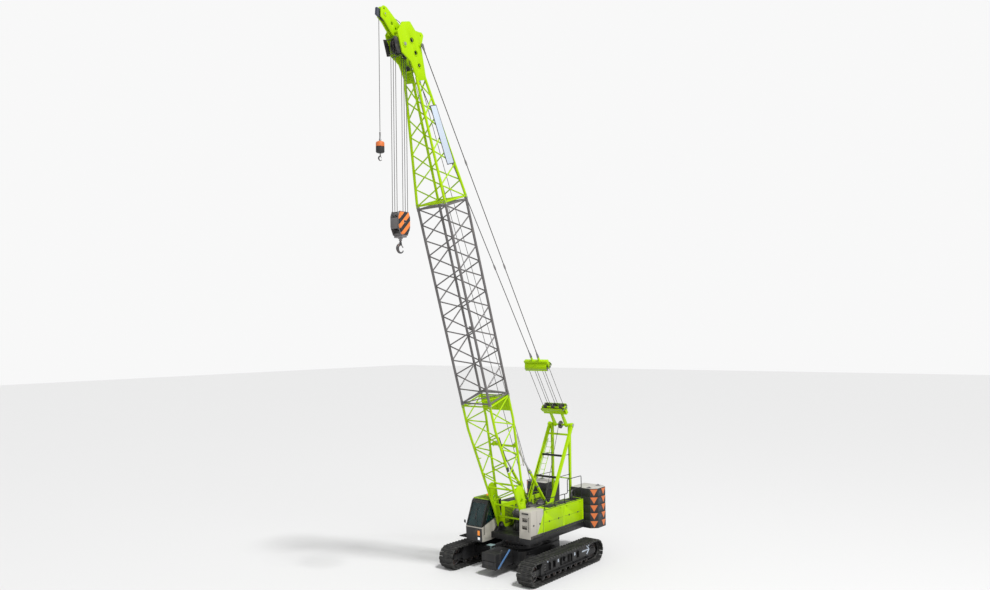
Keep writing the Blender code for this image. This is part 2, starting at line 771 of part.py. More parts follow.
def counterweight_tray():
    left = slab_outline(0)[2:]
    right = [(x, -y) for x, y in reversed(left)]
    return plate([left + right], COUNTERWEIGHT_BOTTOM, TRAY_TOP, "Z")


def counterweight_stack():
    """Four slabs keyed together, with a groove round each joint."""
    half = COUNTERWEIGHT_WIDTH / 2
    top = COUNTERWEIGHT_BOTTOM + SLAB_COUNT * SLAB_HEIGHT
    item = plate([slab_outline(STACK_INNER)], TRAY_TOP + SEAT, top, "Z")
    reach = 0.3
    ring = [(COUNTERWEIGHT_FRONT + reach, STACK_INNER - reach),
            (COUNTERWEIGHT_REAR - reach, STACK_INNER - reach),
            (COUNTERWEIGHT_REAR - reach, half + reach),
            (COUNTERWEIGHT_FRONT + reach, half + reach)]
    cutters = []
    for i in range(2, SLAB_COUNT):
        z = COUNTERWEIGHT_BOTTOM + i * SLAB_HEIGHT
        cutters.append(plate([ring, slab_outline(STACK_INNER, GROOVE)],
                             z - GROOVE / 2, z + GROOVE / 2, "Z"))
    return carve(item, cutters)


def drum(x):
    """A winch drum on its shaft."""
    half = SIDE_BEAM_INNER
    shaft = half + HUB_GAP + SIDE_BEAM_THICKNESS
    flange = half - 0.04
    item = turned([(0.0001, -shaft), (DRUM_SHAFT, -shaft), (DRUM_SHAFT, -half),
                   (FLANGE_RADIUS, -half), (FLANGE_RADIUS, -flange),
                   (DRUM_RADIUS, -flange), (DRUM_RADIUS, flange),
                   (FLANGE_RADIUS, flange), (FLANGE_RADIUS, half),
                   (DRUM_SHAFT, half), (DRUM_SHAFT, shaft), (0.0001, shaft)], 16, "Y")
    return moved(item, x, 0, DRUM_Z)


# --- gantry -------------------------------------------------------------
def gantry_front_legs():
    pieces = []
    y = GANTRY_LEG_INNER + GANTRY_LEG / 2
    foot = Vector((GANTRY_FOOT_X, 0, DECK_TOP + 0.10))
    for side in (-1, 1):
        across = Vector((0, side * y, 0))
        pieces.append(bar(foot + across, GANTRY_TOP + across, GANTRY_LEG,
                          GANTRY_LEG_DEPTH))
        low, high = sorted((side * GANTRY_LEG_INNER,
                            side * (GANTRY_LEG_INNER + GANTRY_LEG)))
        pieces.append(block(GANTRY_FOOT_X - 0.16, GANTRY_FOOT_X + 0.16, low, high,
                            DECK_TOP + SEAT, DECK_TOP + 0.22))
        pieces.append(rod((GANTRY_X, low, GANTRY_Z), (GANTRY_X, high, GANTRY_Z),
                          GANTRY_EYE, 12))
        lug = ring_points(BACKSTOP_PIVOT_X, BACKSTOP_PIVOT_Z, 0.12, 12)
        pieces.append(plate([lug], low + 0.001, high - 0.001))
        pin_end = side * (BACKSTOP_Y - BARREL_RADIUS + 0.01)
        pieces.append(rod((BACKSTOP_PIVOT_X, pin_end, BACKSTOP_PIVOT_Z),
                          (BACKSTOP_PIVOT_X, side * (y - 0.02), BACKSTOP_PIVOT_Z),
                          BACKSTOP_PIN, 12))
    reach = GANTRY_LEG_INNER + BITE
    pieces.append(rod((GANTRY_X, -reach, GANTRY_Z), (GANTRY_X, reach, GANTRY_Z),
                      GANTRY_PIN, 16))
    collar = GANTRY_ARM + GANTRY_ARM_PLATE + HUB_GAP
    for side in (-1, 1):
        pieces.append(rod((GANTRY_X, side * collar, GANTRY_Z),
                          (GANTRY_X, side * (collar + GANTRY_COLLAR), GANTRY_Z),
                          GANTRY_PIN + 0.03, 16))
    for share in GANTRY_TIES:
        place = GANTRY_TOP.lerp(foot, share)
        pieces.append(bar(place - Vector((0, reach, 0)), place + Vector((0, reach, 0)),
                          GANTRY_TIE, GANTRY_TIE))
    return weld(pieces)


def gantry_rear_legs():
    pieces = []
    inner = SIDE_BEAM_INNER + 0.03
    outer = inner + REAR_LEG
    for side in (-1, 1):
        low, high = sorted((side * inner, side * outer))
        outline = [(GANTRY_X - 0.05, SIDE_BEAM_TOP + SEAT),
                   (GANTRY_X + 0.05, SIDE_BEAM_TOP + SEAT)]
        outline += ring_points(GANTRY_X, GANTRY_Z, 0.10, 8, -0.4, pi + 0.8)
        hole = ring_points(GANTRY_X, GANTRY_Z, GANTRY_PIN + SEAT, 16)
        pieces.append(plate([outline, hole], low, high))
    pieces.append(rod((GANTRY_X, -inner - BITE, REAR_TIE_Z),
                      (GANTRY_X, inner + BITE, REAR_TIE_Z), 0.03, 10))
    return weld(pieces)


def handrail():
    y = DECK_SIDE - 0.05
    foot = HOUSING_TOP + SEAT
    low_rail = HOUSING_TOP + LOW_RAIL
    high_rail = HOUSING_TOP + HIGH_RAIL
    middle_rail = low_rail + 0.1
    step_rear = RAIL_STEP - 0.25
    pieces = [pipe([(RAIL_FRONT, y, foot), (RAIL_FRONT, y, low_rail),
                    (RAIL_STEP, y, low_rail), (RAIL_STEP, y, foot)], RAIL_RADIUS)]
    pieces.append(pipe([(RAIL_STEP + 0.05, y, low_rail - 0.01),
                        (step_rear, y, low_rail - 0.01), (step_rear, y, high_rail),
                        (RAIL_REAR, y, high_rail), (RAIL_REAR, y, foot)], RAIL_RADIUS))
    pieces.append(pipe([(step_rear + 0.01, y, middle_rail),
                        (RAIL_REAR - 0.01, y, middle_rail)], RAIL_RADIUS))
    for x, rail in (((RAIL_FRONT + RAIL_STEP) / 2, low_rail),
                    ((step_rear + RAIL_REAR) / 2, middle_rail)):
        pieces.append(pipe([(x, y, foot), (x, y, rail + 0.003)], RAIL_RADIUS))
    return weld(pieces)


def walkway():
    """A narrow deck beside the cab and the right housing."""
    inner = -(CAB_INNER + CAB_WIDTH) - 0.02
    outer = inner - WALKWAY_WIDTH
    top = DECK_BOTTOM + 0.01
    pieces = [block(WALKWAY_REAR, CAB_FRONT - 0.03, outer, inner,
                    top - WALKWAY_THICKNESS, top)]
    for x in WALKWAY_BRACKETS:
        pieces.append(block(x - 0.04, x + 0.04, inner - 0.1, -DECK_SIDE - SEAT,
                            top - 0.03, top + 0.06))
    return weld(pieces)


# --- cab ----------------------------------------------------------------
def cab_outline(inset=0.0):
    """The cab's side view, drawn in by a wall's thickness."""
    slope_x = inset * 1.1
    return [(CAB_REAR + inset, CAB_BOTTOM + inset),
            (CAB_FRONT - 0.03 - inset, CAB_BOTTOM + inset),
            (CAB_FRONT - slope_x, CAB_WAIST),
            (SHIELD_TOP_X - slope_x, CAB_TOP - BROW),
            (SHIELD_TOP_X - BROW - slope_x, CAB_TOP - inset),
            (CAB_REAR + inset, CAB_TOP - inset)]


def windshield_edge(share):
    low = Vector((CAB_FRONT, 0, CAB_WAIST))
    high = Vector((SHIELD_TOP_X, 0, CAB_TOP - BROW))
    return low.lerp(high, share)


def windshield(gap, thickness, inset):
    """A sloping slab in the cab's front, drawn in by a gap all round."""
    low = windshield_edge(0.02)
    high = windshield_edge(0.96)
    along = (high - low).normalized()
    inward = Vector((-along.z, 0, along.x))
    low = low + along * gap + inward * inset
    high = high - along * gap + inward * inset
    deep = inward * thickness
    corners = [low, high, high + deep, low + deep]
    pillar = CAB_WALL + SHIELD_MARGIN + gap
    y_inner = -CAB_INNER - pillar
    y_outer = -CAB_INNER - CAB_WIDTH + pillar
    return plate([[(p.x, p.z) for p in corners]], y_outer, y_inner)


def side_window(gap):
    return [(WINDOW_REAR + gap, WINDOW_REAR_SILL + gap),
            (WINDOW_FRONT - gap, WINDOW_FRONT_SILL + gap),
            (WINDOW_SHOULDER - gap, WINDOW_TOP - gap),
            (WINDOW_REAR + gap, WINDOW_TOP - gap)]


def door_outline(gap):
    return [(CAB_DOOR_REAR + gap, CAB_DOOR_BOTTOM + gap),
            (CAB_DOOR_FRONT - gap, CAB_DOOR_BOTTOM + gap),
            (CAB_DOOR_FRONT - gap, CAB_DOOR_WAIST),
            (CAB_DOOR_SHOULDER - gap, CAB_DOOR_TOP - gap),
            (CAB_DOOR_REAR + gap, CAB_DOOR_TOP - gap)]


def door_glass(gap):
    return [(PANE_REAR + gap, PANE_SILL + gap), (PANE_FRONT - gap, PANE_SILL + gap),
            (PANE_SHOULDER - gap, PANE_TOP - gap), (PANE_REAR + gap, PANE_TOP - gap)]


def cab_shell():
    outer = -CAB_INNER - CAB_WIDTH
    item = plate([cab_outline()], outer, -CAB_INNER)
    inside = plate([cab_outline(CAB_WALL)], outer + CAB_WALL, -CAB_INNER - CAB_WALL)
    cutters = [inside, windshield(0, 0.3, -0.1),
               plate([side_window(0)], -CAB_INNER - 2 * CAB_WALL, -CAB_INNER + 0.1),
               plate([door_outline(0)], outer - 0.1, outer + 2 * CAB_WALL)]
    carve(item, cutters)
    pieces = [item]
    x, y = cab_hinge()
    for z in CAB_HINGE_LEVELS:
        low = z - HINGE_LENGTH / 2
        high = z - HUB_GAP / 2
        pieces.append(rod((x, y, low), (x, y, high), KNUCKLE, 12))
        pieces.append(block(x - KNUCKLE + 0.001, x, y, outer + 0.01, low, high))
    pieces.append(block(CAB_REAR + 0.1, CAB_FRONT - 0.2, -CAB_INNER - 0.01,
                        -CAB_INNER + 0.02 - SEAT, DECK_BOTTOM + 0.02, DECK_TOP - 0.03))
    return weld(pieces)


def cab_hinge():
    """The upright axis of the cab door, at its rear edge: x and y."""
    y = -CAB_INNER - CAB_WIDTH - KNUCKLE - HUB_GAP
    return CAB_DOOR_REAR - KNUCKLE + 0.004, y


def cab_door():
    outer = -CAB_INNER - CAB_WIDTH
    item = plate([door_outline(SWING_GAP), door_glass(0)], outer, outer + CAB_WALL)
    x, y = cab_hinge()
    pieces = [item]
    for z in CAB_HINGE_LEVELS:
        low = z + HUB_GAP / 2
        high = z + HINGE_LENGTH / 2
        pieces.append(rod((x, y, low), (x, y, high), KNUCKLE, 12))
        pieces.append(block(x, CAB_DOOR_REAR + 0.05, y + 0.004, outer - HUB_GAP,
                            low, high))
        pieces.append(block(CAB_DOOR_REAR + 0.012, CAB_DOOR_REAR + 0.048, y + 0.006,
                            outer + 0.01, z + 0.004, high - 0.004))
    return weld(pieces)


def pane(outline, middle):
    return plate([outline], middle - GLASS / 2, middle + GLASS / 2)


def operator_seat():
    floor = CAB_BOTTOM + CAB_WALL
    y = -CAB_INNER - CAB_WIDTH / 2
    pieces = [block(0.80, 1.15, y - 0.16, y + 0.16, floor + SEAT, floor + 0.40, 0.02)]
    pieces.append(block(0.70, 1.22, y - 0.24, y + 0.24, floor + 0.38, floor + 0.50, 0.03))
    back = block(0.64, 0.76, y - 0.23, y + 0.23, floor + 0.45, floor + 1.15, 0.03)
    pieces.append(back)
    return weld(pieces)


# --- boom ---------------------------------------------------------------
def chord_at(s):
    """Half width and half depth of the boom at a distance from its foot pin."""
    if s < FOOT_TAPER_END:
        share = max(0.0, (s - FOOT_TAPER_START) / (FOOT_TAPER_END - FOOT_TAPER_START))
        return CHORD_Y, FOOT_CHORD_N + (CHORD_N - FOOT_CHORD_N) * share
    if s <= MIDDLE_END + JOINT_STRAIGHT:
        return CHORD_Y, CHORD_N
    share = (s - MIDDLE_END - JOINT_STRAIGHT) / (TOP_LENGTH - JOINT_STRAIGHT)
    return (CHORD_Y + (HEAD_CHORD_Y - CHORD_Y) * share,
            CHORD_N + (HEAD_CHORD_N - CHORD_N) * share)


def corner(s, side, back):
    half_y, half_n = chord_at(s)
    return Vector((s, side * half_y, back * half_n))


def zigzag(first, last, start, end, steps, flip):
    """Diagonals that run to and fro between two chords."""
    pieces = []
    for i in range(steps):
        s0 = start + (end - start) * i / steps
        s1 = start + (end - start) * (i + 1) / steps
        a, b = (first, last) if (i + flip) % 2 == 0 else (last, first)
        pieces.append(rod(corner(s0, *a), corner(s1, *b), LACING_RADIUS, 4))
    return pieces


def end_frame(s):
    pieces = []
    around = [(1, 1), (1, -1), (-1, -1), (-1, 1)]
    for a, b in zip(around, around[1:] + around[:1]):
        pieces.append(rod(corner(s, *a), corner(s, *b), 0.036, 6))
    return pieces


def chords(start, end):
    bends = (FOOT_TAPER_START, FOOT_TAPER_END, MIDDLE_END + JOINT_STRAIGHT)
    stops = [s for s in bends if start < s < end]
    knots = [start] + stops + [end]
    pieces = []
    for side in (-1, 1):
        for back in (-1, 1):
            route = [corner(s, side, back) for s in knots]
            pieces.append(pipe(route, CHORD_RADIUS, 1))
    return pieces


def lacing(start, end, side_start=None):
    """Warren lacing on the four faces of one section."""
    pieces = []
    side_start = start if side_start is None else side_start
    steps = round((end - start) / LACING_PITCH)
    side_steps = round((end - side_start) / LACING_PITCH)
    for back in (-1, 1):
        pieces += zigzag((-1, back), (1, back), start, end, steps, 0)
    for side in (-1, 1):
        pieces += zigzag((side, -1), (side, 1), side_start, end, side_steps, 1)
    return pieces


def boom_foot():
    end = FOOT_LENGTH - SEAT / 2
    edge = 0.07
    pieces = chords(0.6, end) + lacing(1.3, end - edge, 2.2) + end_frame(end - edge)
    low = FOOT_PLATE_INNER
    high = FOOT_PLATE_INNER + FOOT_PLATE
    nose = ring_points(0, 0, 0.15, 10, pi / 2, pi)
    outline = nose + [(2.0, -0.27), (2.15, -0.1), (2.15, 0.1), (2.0, 0.27)]
    holes = [ring_points(0, 0, BOOM_PIN_RADIUS + PIN_CLEARANCE, 24),
             ring_points(1.45, 0, 0.11, 12)]
    for side in (-1, 1):
        y0, y1 = sorted((side * low, side * high))
        pieces.append(plate([outline] + holes, y0, y1))
    inner = low + BITE
    for s in (0.45, 1.05):
        pieces.append(rod((s, -inner, 0), (s, inner, 0), 0.045, 8))
    half_n = chord_at(BACKSTOP_S)[1]
    pieces.append(rod((BACKSTOP_S, -CHORD_Y, half_n), (BACKSTOP_S, CHORD_Y, half_n),
                      0.05, 8))
    lug = ring_points(BACKSTOP_S, BACKSTOP_N, 0.07, 8, 0, pi)
    lug += [(BACKSTOP_S - 0.10, half_n), (BACKSTOP_S + 0.10, half_n)]
    for side in (-1, 1):
        y0, y1 = sorted((side * (BACKSTOP_Y + 0.05), side * (BACKSTOP_Y + 0.095)))
        pieces.append(plate([lug], y0, y1))
    pieces.append(block(end - 0.80, end - 0.12, -CHORD_Y, CHORD_Y,
                        CHORD_N - 0.012, CHORD_N + 0.012))
    return weld(pieces)


def boom_middle():
    start = FOOT_LENGTH + SEAT / 2
    end = MIDDLE_END - SEAT / 2
    edge = 0.07
    pieces = chords(start, end) + lacing(start + edge, end - edge)
    return weld(pieces + end_frame(start + edge) + end_frame(end - edge))


def beyond(points):
    """Places on the boom's head, given from the top section's end."""
    return [(TOP_END + rise, n) for rise, n in points]


def head_outline():
    return beyond([(-0.15, -0.24), (-0.15, 0.30), (1.15, 0.42), (1.55, 0.68), (1.75, 0.62),
                   (1.82, 0.28), (2.20, 0.08), (2.20, -0.40), (1.85, -0.80),
                   (1.05, -0.80), (0.65, -0.40)])


def boom_top():
    start = MIDDLE_END + SEAT / 2
    edge = 0.07
    pieces = chords(start, TOP_END) + lacing(start + edge, TOP_END - 0.15)
    pieces += end_frame(start + edge)
    low = HEAD_PLATE_INNER
    high = low + HEAD_PLATE
    for side in (-1, 1):
        y0, y1 = sorted((side * low, side * high))
        pieces.append(plate([head_outline()], y0, y1))
    reach = low + BITE
    pieces.append(rod((HEAD_SHEAVE_S, -reach, HEAD_SHEAVE_N),
                      (HEAD_SHEAVE_S, reach, HEAD_SHEAVE_N), 0.05, 16))
    for s, n in beyond([(0.30, -0.1), (0.30, 0.22), (1.00, 0.30), (2.00, 0.02)]):
        pieces.append(rod((s, -reach, n), (s, reach, n), 0.045, 8))
    for side in (-1, 1):
        pieces.append(rod((PENDANT_S, side * reach, PENDANT_N - 0.08),
                          (PENDANT_S, side * (PENDANT_Y - 0.042), PENDANT_N - 0.08),
                          0.05, 12))
    return weld(pieces)


def boom_tip():
    """The short jib at the boom's nose that carries the single-line sheave."""
    outline = beyond([(1.80, -0.52), (2.12, -0.30), (2.84, -0.86), (2.90, -1.02),
                      (2.84, -1.18), (2.50, -1.30), (2.32, -1.14), (1.74, -0.84)])
    pieces = []
    for side in (-1, 1):
        y0, y1 = sorted((side * 0.065, side * 0.115))
        pieces.append(plate([outline], y0, y1))
    pieces.append(rod((TIP_SHEAVE_S, -0.09, TIP_SHEAVE_N),
                      (TIP_SHEAVE_S, 0.09, TIP_SHEAVE_N), 0.035, 12))
    reach = HEAD_PLATE_INNER - SEAT
    for s, n in beyond([(2.04, -0.42), (1.84, -0.72)]):
        pieces.append(rod((s, -reach, n), (s, reach, n), 0.045, 10))
    return weld(pieces)


def sheave_profile(grooves, pitch, rope_radius, bore, edge, apart):
    """Half section of a sheave cluster: grooves side by side on one hub."""
    rim = rope_radius + RIM
    root = rope_radius - ROPE - 2 * SEAT
    hub = bore + 0.06
    half = ROPE + (0.032 if apart else 0.014)
    outer = []
    for i in range(grooves):
        y = (i - (grooves - 1) / 2) * pitch
        if apart or i == 0:
            outer.append((hub, y - half))
        outer += [(rim, y - half), (root, y - ROPE * 0.6), (root, y + ROPE * 0.6),
                  (rim, y + half)]
        if apart or i == grooves - 1:
            outer.append((hub, y + half))
    last = (grooves - 1) / 2 * pitch + edge
    return [(bore, -last), (hub, -last)] + outer + [(hub, last), (bore, last)]


def sheaves(grooves, pitch, rope_radius, bore, edge, place, apart=False, sides=20):
    profile = sheave_profile(grooves, pitch, rope_radius, bore, edge, apart)
    return moved(turned(profile, sides, "Y"), *place)


def main_head_sheaves():
    edge = HEAD_PLATE_INNER - SHEAVE_PITCH - HUB_GAP
    return sheaves(3, SHEAVE_PITCH, MAIN_ROPE_RADIUS, 0.05 + PIN_CLEARANCE, edge,
                   HEAD_AXIS)


def tip_sheave():
    return sheaves(1, 0, TIP_ROPE_RADIUS, 0.035 + PIN_CLEARANCE, 0.065 - HUB_GAP,
                   TIP_AXIS)


# --- backstops ----------------------------------------------------------
def backstop_barrel():
    pieces = [rod((0.06, BACKSTOP_Y, 0), (BARREL_LENGTH, BACKSTOP_Y, 0),
                  BARREL_RADIUS, 12)]
    hub = GANTRY_LEG_INNER - HUB_GAP
    pieces.append(rod((0, BACKSTOP_Y - BARREL_RADIUS + 0.015, 0), (0, hub, 0),
                      0.075, 12))
    item = weld(pieces)
    cutters = [rod((0.5, BACKSTOP_Y, 0), (BARREL_LENGTH + 0.1, BACKSTOP_Y, 0),
                   ROD_RADIUS + SEAT, 12),
               rod((0, BACKSTOP_Y - 0.2, 0), (0, BACKSTOP_Y + 0.2, 0),
                   0.035 + PIN_CLEARANCE, 12)]
    return tilted(carve(item, cutters), BACKSTOP_ANGLE, BACKSTOP_PIVOT)


def backstop_rod():
    reach = BACKSTOP_LINE.length
    pieces = [rod((reach - ROD_LENGTH, BACKSTOP_Y, 0), (reach, BACKSTOP_Y, 0),
                  ROD_RADIUS, 12)]
    pieces.append(rod((reach, BACKSTOP_Y - 0.04, 0), (reach, BACKSTOP_Y + 0.04, 0),
                      0.07, 12))
    return tilted(weld(pieces), BACKSTOP_ANGLE, BACKSTOP_PIVOT)


# --- stays --------------------------------------------------------------
def stay_cheeks(beam, pin):
    """A spreader's cross beam, its two cheeks and its sheave pin."""
    half = STAY_WIDTH / 2
    pieces = [block(beam - 0.06, beam + 0.06, -half, half, -0.09, 0.09)]
    end = pin + (0.08 if pin > beam else -0.08)
    for side in (-1, 1):
        y0, y1 = sorted((side * (half - STAY_PLATE), side * half))
        pieces.append(block(min(beam, end), max(beam, end), y0, y1, -0.08, 0.08))
    reach = half - 0.01
    pieces.append(rod((pin, -reach, 0), (pin, reach, 0), STAY_PIN, 16))
    return pieces


def gantry_block():
    """The upper spreader, hung on the gantry's pin."""
    pieces = []
    for side in (-1, 1):
        y0, y1 = sorted((side * GANTRY_ARM, side * (GANTRY_ARM + GANTRY_ARM_PLATE)))
        nose = ring_points(0, 0, 0.11, 6, pi / 2, pi)
        hole = ring_points(0, 0, GANTRY_PIN + PIN_CLEARANCE, 16)
        pieces.append(plate([nose + [(0.80, -0.07), (0.80, 0.07)], hole], y0, y1))
    return tilted(weld(pieces + stay_cheeks(0.80, BLOCK_SHEAVE_D)), STAY_ANGLE,
                  GANTRY_TOP)


def stay_sheaves(distance):
    """Three sheaves on one sleeve."""
    bore = STAY_PIN + PIN_CLEARANCE
    edge = STAY_WIDTH / 2 - STAY_SHEAVE_Y - STAY_PLATE - HUB_GAP
    item = sheaves(3, STAY_SHEAVE_Y, LUFF_ROPE_RADIUS, bore, edge,
                   (distance, 0, 0), True, 16)
    return tilted(item, STAY_ANGLE, GANTRY_TOP)


def bridle():
    """The lower spreader that the pendants pull on."""
    beam = BRIDLE_SHEAVE_D + 0.30
    pieces = stay_cheeks(beam, BRIDLE_SHEAVE_D)
    for side in (-1, 1):
        y = side * BRIDLE_LUG_Y
        pieces.append(block(beam, BRIDLE_TIP_D, y - 0.03, y + 0.03, -0.05, 0.05))
    return tilted(weld(pieces), STAY_ANGLE, GANTRY_TOP)


def pendant():
    start = Vector((BRIDLE_TIP_D + PENDANT_SEAT, BRIDLE_LUG_Y, 0))
    end = Vector((STAY_LENGTH, PENDANT_Y, 0))
    pieces = [rod(start, end, 0.020, 8)]
    pieces.append(rod((STAY_LENGTH, PENDANT_Y - 0.03, 0),
                      (STAY_LENGTH, PENDANT_Y + 0.03, 0), 0.07, 10))
    for share in (0.32, 0.66):
        place = start.lerp(end, share)
        along = (end - start).normalized() * 0.12
        pieces.append(rod(place - along, place + along, 0.04, 8))
    return tilted(weld(pieces), STAY_ANGLE, GANTRY_TOP)


def luffing_rope():
    """Rope reeved between the two spreaders' sheaves."""
    r = LUFF_ROPE_RADIUS
    ys = (-STAY_SHEAVE_Y, 0, STAY_SHEAVE_Y)
    points = [(BLOCK_SHEAVE_D, ys[0], r + ROPE)]
    for i, y in enumerate(ys):
        points += [(BRIDLE_SHEAVE_D + u, y, v) for u, v in wrap(r, pi / 2, -pi, 5)]
        if i < len(ys) - 1:
            points += [(BLOCK_SHEAVE_D + u, y, v) for u, v in wrap(r, -pi / 2, -pi, 5)]
    points.append((BLOCK_SHEAVE_D, ys[-1], -r - ROPE))
    return tilted(pipe(points, ROPE, 1), STAY_ANGLE, GANTRY_TOP)


# --- hook blocks --------------------------------------------------------
def main_hoist_rope():
    """Six parts of line between the head sheaves and the block."""
    r = MAIN_ROPE_RADIUS
    ys = (-SHEAVE_PITCH, 0, SHEAVE_PITCH)
    lead = wrap(r, 0, -pi, 6)[0][0]
    points = [(lead, ys[0] - 0.08, HEAD_AXIS.z - 0.3)]
    for i, y in enumerate(ys):
        points += [(u, y, BLOCK_SHEAVE_Z + v) for u, v in wrap(r, 0, -pi, 6)]
        over, steps = (-pi, 6) if i < len(ys) - 1 else (-pi / 2, 3)
        points += [(u, y, HEAD_AXIS.z + v) for u, v in wrap(r, pi, over, steps)]
    return moved(pipe(points, ROPE, 1), HEAD_AXIS.x, 0, 0)


def hook_block():
    x = HEAD_AXIS.x
    outer = block(x - BLOCK_HALF_LENGTH, x + BLOCK_HALF_LENGTH, -BLOCK_HALF_WIDTH,
                  BLOCK_HALF_WIDTH, BLOCK_BOTTOM + 0.10, BLOCK_TOP, 0.03)
    floor = BLOCK_SHEAVE_Z - MAIN_ROPE_RADIUS - RIM - 0.012
    room = MAIN_ROPE_RADIUS + RIM + 0.008
    inside = block(x - room, x + room, -0.195, 0.195, floor, BLOCK_TOP + 0.1)
    carve(outer, [inside])
    pieces = [outer]
    pieces.append(rod((x, -0.21, BLOCK_SHEAVE_Z), (x, 0.21, BLOCK_SHEAVE_Z), 0.045, 12))
    pieces.append(block(x - 0.14, x + 0.14, -0.16, 0.16, BLOCK_BOTTOM, BLOCK_BOTTOM + 0.15))
    return weld(pieces)


def block_sheaves():
    edge = 0.195 - SHEAVE_PITCH - HUB_GAP
    return sheaves(3, SHEAVE_PITCH, MAIN_ROPE_RADIUS, 0.045 + PIN_CLEARANCE, edge,
                   (HEAD_AXIS.x, 0, BLOCK_SHEAVE_Z))


def hook(x, top, radius, thickness, shank):
    """A single hook hanging from a round shank, in the fore and aft plane."""
    eye = top - shank - radius
    points = [(x, 0, top), (x, 0, top - shank * 0.6)]
    widths = [0.8, 0.8]
    start = radians(100)
    sweep = radians(-260)
    steps = 11
    for k in range(steps):
        share = k / (steps - 1)
        angle = start + sweep * share
        points.append((x + radius * cos(angle), 0, eye + radius * sin(angle)))
        widths.append(0.8 + 0.4 * sin(pi * min(1.0, share * 1.3)) - 0.35 * share)
    return pipe(points, thickness, 2, widths)


def main_hook():
    return hook(HEAD_AXIS.x, BLOCK_BOTTOM - SEAT, HOOK_RADIUS, 0.06, 0.22)


def aux_hoist_rope():
    r = TIP_ROPE_RADIUS
    points = [(u, 0, TIP_AXIS.z + v) for u, v in wrap(r, pi * 0.75, -pi * 0.75, 8)]
    points.append((r, 0, AUX_SOCKET_Z + SEAT))
    return moved(pipe(points, ROPE, 1), TIP_AXIS.x, 0, 0)


def aux_weight():
    low = AUX_WEIGHT_BOTTOM
    high = AUX_WEIGHT_TOP
    r = AUX_WEIGHT_RADIUS
    item = turned([(0.0001, low), (0.06, low), (r * 0.8, low + 0.05), (r, low + 0.14),
                   (r, high - 0.10), (r * 0.75, high), (0.05, high + 0.04),
                   (0.035, high + 0.15), (0.035, AUX_SOCKET_Z),
                   (0.0001, AUX_SOCKET_Z)], 14)
    return moved(item, TIP_AXIS.x + TIP_ROPE_RADIUS, 0, 0)


def aux_hook():
    return hook(TIP_AXIS.x + TIP_ROPE_RADIUS, AUX_WEIGHT_BOTTOM - SEAT, 0.085, 0.028, 0.13)


# --- the machine --------------------------------------------------------
def build():
    origin = joint_empty("crane", (0, 0, 0))
    for name, make in (("carbody", carbody), ("slew_ring", slew_ring)):
        part(name, make(), "dark", origin)
    part("carbody_weight_front", carbody_weight(1), "dark", origin)
    part("carbody_weight_rear", carbody_weight(-1), "dark", origin)
    for side, name in ((1, "left"), (-1, "right")):
        crawler = joint_empty(name + "_crawler", (0, side * GAUGE / 2, 0), origin)
        for piece, item, finish in (("track_frame", track_frame(), "dark"),
                                    ("track", track(), "dark"),
                                    ("sprocket", track_wheel(-1), "steel"),
                                    ("idler", track_wheel(1), "steel")):
            if side < 0:
                copy = mirrored(item)
                bpy.data.objects.remove(item)
                item = copy
            part(name + "_" + piece, item, finish, crawler)
    build_upperworks(origin)
    origin.location.x = MACHINE_SHIFT


def build_upperworks(origin):
    slew = joint_empty("slew_axis", (0, 0, DECK_BOTTOM), origin)
    for name, make, finish in (("revolving_frame", revolving_frame, "dark"),
                               ("left_front_cover", left_front_cover, "grey"),
                               ("engine", engine, "steel"),
                               ("counterweight_tray", counterweight_tray, "dark"),
                               ("gantry_front_legs", gantry_front_legs, "green"),
                               ("gantry_rear_legs", gantry_rear_legs, "green"),
                               ("left_handrail", handrail, "dark"),
                               ("right_walkway", walkway, "dark"),
                               ("cab_shell", cab_shell, "grey"),
                               ("operator_seat", operator_seat, "seat")):
        part(name, make(), finish, slew)
    stack = counterweight_stack()
    part("counterweight_right", mirrored(stack), "dark", slew)
    part("counterweight_left", stack, "dark", slew)
    part("left_housing", housing(2), "green", slew)
    right = housing(1)
    part("right_housing", mirrored(right), "green", slew)
    bpy.data.objects.remove(right)
    build_doors(slew)
    for name, x in zip(("main_drum", "aux_drum", "luffing_drum"), DRUM_X):
        part(name, drum(x), "steel", joint_empty(name + "_axis", (x, 0, DRUM_Z), slew))
    build_cab(slew)
    build_boom(slew)
    build_stays(slew)


def build_doors(slew):
    y, z = hinge_axis(1)
    for name, (x0, x1) in zip(("left_door_rear", "left_door_front"), door_spans(2)):
        axis = joint_empty(name + "_axis", ((x0 + x1) / 2, y, z), slew)
        part(name, housing_door(x0, x1), "green", axis)
    x0, x1 = door_spans(1)[0]
    axis = joint_empty("right_door_axis", ((x0 + x1) / 2, -y, z), slew)
    door = housing_door(x0, x1)
    part("right_door", mirrored(door), "green", axis)
    bpy.data.objects.remove(door)


def build_cab(slew):
    outer = -CAB_INNER - CAB_WIDTH
    part("cab_windshield", windshield(SEAT, GLASS, 0.015), "glass", slew)
    part("cab_side_window", pane(side_window(SEAT), -CAB_INNER - CAB_WALL / 2),
         "glass", slew)
    x, y = cab_hinge()
    hinge = joint_empty("cab_door_axis", (x, y, CAB_BOTTOM), slew)
    part("cab_door", cab_door(), "grey", hinge)
    part("cab_door_window", pane(door_glass(SEAT), outer + CAB_WALL / 2),
         "glass", hinge)


